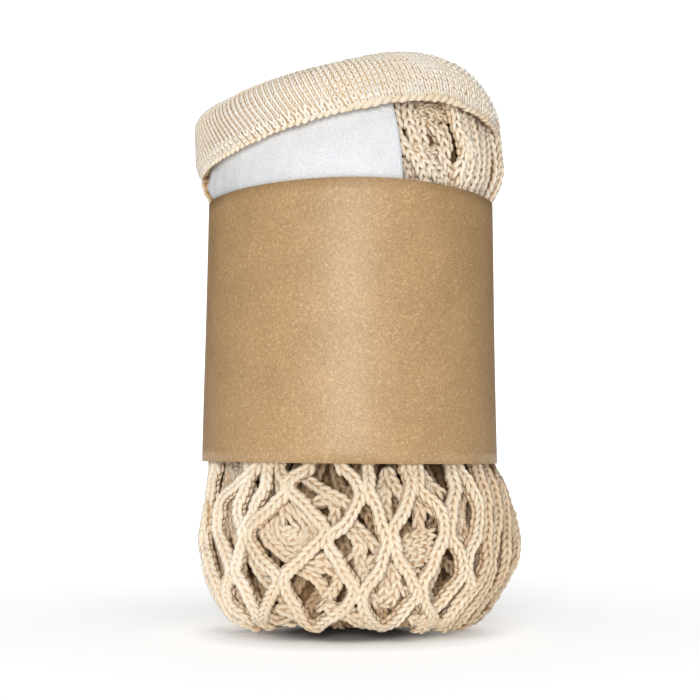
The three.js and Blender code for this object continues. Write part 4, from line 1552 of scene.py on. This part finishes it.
# the strap's yarn has painted light, and the ground behind its columns is painted shade
strap = cords(
    "strap_stitches", strap_paths, PAINTED_LIGHT_YARN, STRAP_COURSE, STRAP_SIZE, seed=41,
    stitch=half_stitch, unevenness=0.09, core=0.5,
)
strap_ground = ground_patch(
    "strap_ground", first=50, last=92, depths=(-0.3, -0.7, -2.4), material=STRAP_SHADE_GROUND,
)
print(strap.name, "triangles:", triangles(strap), strap_ground.name, triangles(strap_ground))

# %% Edge of the strap and the fold behind it
STRAP_LOW = 119
EDGE_ANGLE, FOLD_ANGLES = 78, (82, 86, 89.5, 93, 97)
EDGE_LIFTS = np.array([
    # height, lift of the strap's drawn edge, lift of the fold behind it
    (146.0, 2.6, 3.8),
    (140.0, 2.4, 3.6),
    (133.0, 2.2, 3.3),
    (128.0, 1.9, 2.5),
    (124.0, 1.2, 1.4),
    (119.0, 0.6, 0.6),
])


def strap_run(degrees, column, top):
    """A path down the strap's side, lifted by one column of the table above."""
    height = np.linspace(top, STRAP_LOW, 40)
    place = degrees + 2.0 * np.sin(0.2 * height)
    rise = np.interp(height, EDGE_LIFTS[::-1, 0], EDGE_LIFTS[::-1, column])
    return laid_cord(row_at(height), place, -rise, STRAP_FACING)


edge_path = strap_run(EDGE_ANGLE, column=1, top=146)
strap_edge = cords(
    "strap_edge", [edge_path], PAINTED_LIGHT_YARN, pitch=2.3, size=0.9, seed=42, stitch=edge_stitch, core=0.4,
)
fold_paths = [strap_run(degrees, column=2, top=142.5) for degrees in FOLD_ANGLES]
strap_fold = cords("strap_fold", fold_paths, YARN, CORD_PITCH, size=0.85, seed=43)
print(strap_edge.name, "triangles:", triangles(strap_edge) + triangles(strap_fold))

# %% [markdown]
# ## The cloth label
# A white cotton patch lies on the net under the rim. It is thin plain-woven cloth. Its threads are far
# too fine to model, so they are a bump and a tone that follow the cloth's own flat measure as a UV map.

# %% Label cloth finish
WEAVE_PER_M = 1600.0


def woven_cotton():
    material, nodes, links, shader = finish_nodes("label_cotton")
    uv = nodes.new("ShaderNodeUVMap")
    uv.uv_map = "weave"
    parts = nodes.new("ShaderNodeSeparateXYZ")
    links.new(uv.outputs["UV"], parts.inputs["Vector"])
    turn = 2 * math.pi * WEAVE_PER_M
    warp = math_node(nodes, links, "SINE", math_node(nodes, links, "MULTIPLY", parts.outputs["X"], turn))
    weft = math_node(nodes, links, "SINE", math_node(nodes, links, "MULTIPLY", parts.outputs["Y"], turn))
    weave = math_node(nodes, links, "MULTIPLY_ADD", warp, 1.5, weft)
    place = nodes.new("ShaderNodeTexCoord").outputs["Object"]
    slub = noise_node(nodes, links, place, scale=1400, detail=4)
    worn = math_node(nodes, links, "MULTIPLY_ADD", weave, 0.07, slub)
    tone = ramp_node(nodes, links, worn, [(0.25, srgb(219, 221, 224)), (0.75, srgb(237, 238, 240))])
    links.new(tone, shader.inputs["Base Color"])
    normal = bump_node(nodes, links, weave, distance=0.00006, strength=0.5)
    normal = bump_node(nodes, links, slub, distance=0.0001, strength=0.35, before=normal)
    links.new(normal, shader.inputs["Normal"])
    shader.inputs["Roughness"].default_value = 0.9
    shader.inputs["Specular IOR Level"].default_value = 0.2
    shader.inputs["Sheen Weight"].default_value = 0.15
    return material


LABEL_COTTON = woven_cotton()
print("cloth:", LABEL_COTTON.name)

# %% [markdown]
# ## The sheet of the label
# A simulated cloth would settle somewhere near, but the real one is held all round, by the rim above,
# the sleeve below and the net behind. So the sheet is laid on the net by a function, with a few soft
# dents where the cords press through, and its left end stands off the net as in the picture. A Solidify
# modifier gives it its thickness.

# %% Label
LABEL_FROM, LABEL_SPAN = -88, 102  # degrees round the roll
LABEL_THICK = 0.7
LABEL_LIFT = 0.8
LABEL_LOW = 114.0
LABEL_TUCK = 5.0  # how far it reaches up behind the hem
LABEL_COLUMNS, LABEL_ROWS = 90, 40


def label_points():
    """Points of the label, in columns from left to right and rows from top to bottom."""
    across = np.linspace(0, 1, LABEL_COLUMNS + 1)[:, None]
    down = np.linspace(0, 1, LABEL_ROWS + 1)[None, :]
    edge = LABEL_FROM + LABEL_SPAN * across
    top = hem_at(edge) + LABEL_TUCK - 2.6 * np.clip((-66 - edge) / 8, 0, 1)
    height = top + (LABEL_LOW - top) * down
    degrees = edge + 7.6 * across * down + 9.0 * (1 - across) ** 6 * np.clip(2 * down, 0, 1) ** 2
    dent = 0.34 * np.sin(0.16 * degrees + 0.30 * height) * np.sin(0.11 * height - 0.08 * degrees)
    dent += 0.08 * np.sin(0.7 * degrees - 0.3 * height)
    at_left = np.clip((-62 - edge) / 26, 0, 1) ** 2
    above_sleeve = np.clip((height - 124.5) / 5, 0, 1)
    below_hem = np.clip(5 * down - 0.75, 0, 1)
    dent += 1.7 * at_left * above_sleeve * below_hem
    dent -= 0.5 * np.clip(1 - 4 * down, 0, 1)
    points = on_net(row_at(height.ravel()), degrees.ravel(), -(LABEL_LIFT + dent.ravel()))[0]
    return points.reshape(LABEL_COLUMNS + 1, LABEL_ROWS + 1, 3)


label_grid = label_points()
label_side = LABEL_ROWS + 1
label_corners = [c * label_side + r for c in range(LABEL_COLUMNS) for r in range(LABEL_ROWS)]
label_faces = [(i, i + 1, i + label_side + 1, i + label_side) for i in label_corners]
label_mesh = bpy.data.meshes.new("label_patch")
label_mesh.from_pydata([tuple(p) for p in label_grid.reshape(-1, 3) * MM], [], label_faces)
label_mesh.materials.append(LABEL_COTTON)
label_run = run_along(label_grid[:, LABEL_ROWS // 2])
label_drop = np.array([run_along(column) for column in label_grid])
flat_across = np.broadcast_to(label_run[:, None], label_drop.shape)
flat_place = np.stack([flat_across, label_drop], axis=2).reshape(-1, 2) * MM
label_mesh.uv_layers.new(name="weave").data.foreach_set(
    "uv", flat_place[[i for f in label_faces for i in f]].ravel()
)
label_mesh.polygons.foreach_set("use_smooth", [True] * len(label_faces))
label = bpy.data.objects.new("label_patch", label_mesh)
scene.collection.objects.link(label)
cloth = label.modifiers.new("cloth", "SOLIDIFY")
cloth.thickness = LABEL_THICK * MM
cloth.offset = 1.0
print(label.name, "width and drop:", label_run[-1].round(1), label_drop[:, -1].max().round(1))

# %% [markdown]
# ## Kraft paper
# The sleeve is brown kraft paper. Its colour comes from wood fibres: fine streaks both ways, dark flecks,
# and here and there a pale fibre that lies on top in a curl. A scanned sheet would bring its own light
# with it, so all of it is made from noise and cells on the object's coordinates.

# %% Kraft paper finish


def pale_fibres(nodes, links, place):
    """Thin curled lines with breaks: one on a fibre and nought beside it."""
    curl = math_node(nodes, links, "MULTIPLY", noise_node(nodes, links, place, scale=450, detail=2), 0.006)
    bent = nodes.new("ShaderNodeVectorMath")
    links.new(place, bent.inputs[0])
    links.new(curl, bent.inputs[1])
    web = nodes.new("ShaderNodeTexVoronoi")
    web.feature = "DISTANCE_TO_EDGE"
    web.inputs["Scale"].default_value = 520
    links.new(bent.outputs["Vector"], web.inputs["Vector"])
    line = math_node(nodes, links, "LESS_THAN", web.outputs["Distance"], 0.045)
    breaks = noise_node(nodes, links, place, scale=1100, detail=2)
    broken = math_node(nodes, links, "GREATER_THAN", breaks, 0.53)
    return math_node(nodes, links, "MULTIPLY", line, broken)


def kraft_paper():
    material, nodes, links, shader = finish_nodes("kraft_paper")
    place = nodes.new("ShaderNodeTexCoord").outputs["Object"]
    cloud = noise_node(nodes, links, place, scale=90, detail=4)
    strands = []
    for stretch in [(1, 1, 2.4), (2.4, 2.4, 1)]:
        drawn = nodes.new("ShaderNodeMapping")
        drawn.inputs["Scale"].default_value = stretch
        links.new(place, drawn.inputs["Vector"])
        drawn_place = drawn.outputs["Vector"]
        strands.append(noise_node(nodes, links, drawn_place, scale=1500, detail=5, roughness=0.65))
    fibre = math_node(nodes, links, "MULTIPLY", math_node(nodes, links, "ADD", *strands), 0.5)
    fleck = nodes.new("ShaderNodeTexVoronoi")
    fleck.inputs["Scale"].default_value = 260
    links.new(place, fleck.inputs["Vector"])
    speck = math_node(nodes, links, "LESS_THAN", fleck.outputs["Distance"], 0.085)
    tone = ramp_node(nodes, links, fibre, [(0.36, srgb(155, 120, 78)), (0.64, srgb(205, 169, 122))])
    broad = ramp_node(nodes, links, cloud, [(0.3, (0.91, 0.90, 0.88, 1)), (0.7, (1.04, 1.04, 1.04, 1))])
    colour = mix_node(nodes, links, 1, tone, broad, blend="MULTIPLY")
    dark = math_node(nodes, links, "MULTIPLY", speck, 0.5)
    colour = mix_node(nodes, links, dark, colour, srgb(140, 104, 68))
    hair = math_node(nodes, links, "MULTIPLY", pale_fibres(nodes, links, place), 0.42)
    colour = mix_node(nodes, links, hair, colour, srgb(228, 198, 155))
    links.new(colour, shader.inputs["Base Color"])
    normal = bump_node(nodes, links, fibre, distance=0.0001, strength=0.3)
    links.new(normal, shader.inputs["Normal"])
    shader.inputs["Roughness"].default_value = 0.5
    shader.inputs["Specular IOR Level"].default_value = 0.64
    return material


KRAFT = kraft_paper()
print("paper:", KRAFT.name)

# %% [markdown]
# ## The paper sleeve
# The paper is wrapped once round the roll and glued at the back. Paper this stiff stays close to a smooth
# cylinder, and a plain tube would look like plastic, so the rings add a slight unevenness, the step of
# the glued end, the bow of the upper edge, and the real thickness at the cut edges.

# %% Sleeve
SLEEVE = np.array([
    # height, left, right, front, back
    (48.1, 44.95, 41.3, 43.3, 43.7),
    (87.0, 44.15, 40.7, 42.3, 42.8),
    (125.6, 43.5, 40.2, 41.8, 41.9),
])
PAPER = 0.5
TOP_RISE, TOP_DIP = 0.25, 2.4  # the upper edge stands up at the front and dips at both sides
BASE_TILT = 0.008  # the lower edge hangs a little lower at the right
OVERLAP_FROM, OVERLAP_TO, OVERLAP_RAMP = 150.0, 175.0, 5.0
sleeve_degrees = np.sort(np.append(np.arange(-180, 180, 2.0), OVERLAP_TO + 0.25))
sleeve_heights = np.linspace(SLEEVE[0, HEIGHT], SLEEVE[-1, HEIGHT], 24)


def sleeve_wall(heights, lift):
    """One side of the paper, ring by ring. A lift of nought is the outer side, with the glued step."""
    sections = np.stack([np.interp(heights, SLEEVE[:, 0], c) for c in SLEEVE.T], axis=1)
    rings = []
    up = (heights - SLEEVE[0, HEIGHT]) / (SLEEVE[-1, HEIGHT] - SLEEVE[0, HEIGHT])
    for degrees in sleeve_degrees:
        glued = OVERLAP_FROM <= degrees <= OVERLAP_TO
        step = PAPER * min((degrees - OVERLAP_FROM) / OVERLAP_RAMP, 1) if glued and lift == 0 else 0.0
        wave = 0.10 * np.sin(math.radians(5 * degrees) + 0.05 * heights)
        ring = oval(sections, np.full_like(heights, degrees), lift + step + wave)
        bow = TOP_RISE - TOP_DIP * math.sin(math.radians(degrees)) ** 2
        ring[:, 2] += up * bow - (1 - up) * BASE_TILT * ring[:, 0]
        rings.append(ring)
    return np.array(rings)


paper_out = sleeve_wall(sleeve_heights, 0.0)
paper_in = sleeve_wall(sleeve_heights[::-1], -PAPER)
sleeve = ring_mesh("kraft_sleeve", np.concatenate([paper_out, paper_in], axis=1), KRAFT, joined=True)
print(sleeve.name, "triangles:", triangles(sleeve))

# %% [markdown]
# ## The top of the roll
# From above, the wound layers show inside the rim: cords lying side by side in a spiral. A spiral path
# for one cord gives them all, and its four half widths fit it into the oval well of the rim.

# %% Cords on top of the roll
TOP_TURNS = 5.5
TOP_HEIGHT = 145.0
TOP_LEFT, TOP_RIGHT, TOP_FRONT, TOP_BACK = 31.0, 22.0, 26.0, 25.5  # half widths of the outermost turn


def top_spiral():
    """A spiral from the middle of the roll to the rim, with its stitches facing up."""
    turns = np.linspace(0, TOP_TURNS, 420)
    share = 0.06 + 0.94 * turns / TOP_TURNS
    angle = 2 * math.pi * turns
    wide = np.where(np.sin(angle) > 0, TOP_RIGHT, TOP_LEFT)
    deep = np.where(np.cos(angle) > 0, TOP_FRONT, TOP_BACK)
    points = np.stack([
        share * wide * np.sin(angle),
        -share * deep * np.cos(angle),
        TOP_HEIGHT - 1.2 * share + 0.8 * np.sin(3.1 * angle),
    ], axis=1)
    out = np.tile((0.0, 0.0, 1.0), (len(points), 1))
    return points, out


roll_top = cords("roll_top_cords", [top_spiral()], YARN, CORD_PITCH, CORD_SIZE, seed=51)
print(roll_top.name, "triangles:", triangles(roll_top))

# %% [markdown]
# ## Fix the pieces to the roll
# The roll is one body without joints. Every piece is fixed to it, and the solid that it stands for is
# hidden. The single stitches, which were only patterns to copy, are taken away.

# %% Rides and the solids that the pieces stand for
DRESSED = [
    # solid, its finish, and the pieces that stand for it
    ("outer_net", "cotton_knit", [front_net, right_net, side_net, left_net, upper, window, window_bunch]),
    ("rolled_layers", "cotton_knit", [under_net, second, bunched, inner, core, roll_top, window_ground]),
    ("rim_band", "cotton_knit", [rim_ribs, rim_back, rim_right, rim_inside, rim_wall]),
    ("rim_band", "cotton_knit", [hem_row, hem_rope, hem_knots, hem_thin]),
    ("knit_strap", "cotton_knit", [strap, strap_edge, strap_fold, strap_ground]),
    ("cloth_label", "label_cloth", [label]),
    ("paper_sleeve", "kraft_paper", [sleeve]),
]
for stitch in STITCHES:
    bpy.data.objects.remove(stitch)
for solid, finish, pieces in DRESSED:
    for piece in pieces:
        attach(piece, "root")
        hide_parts(solid)

print("triangles in all:", sum(triangles(piece) for _, _, pieces in DRESSED for piece in pieces))
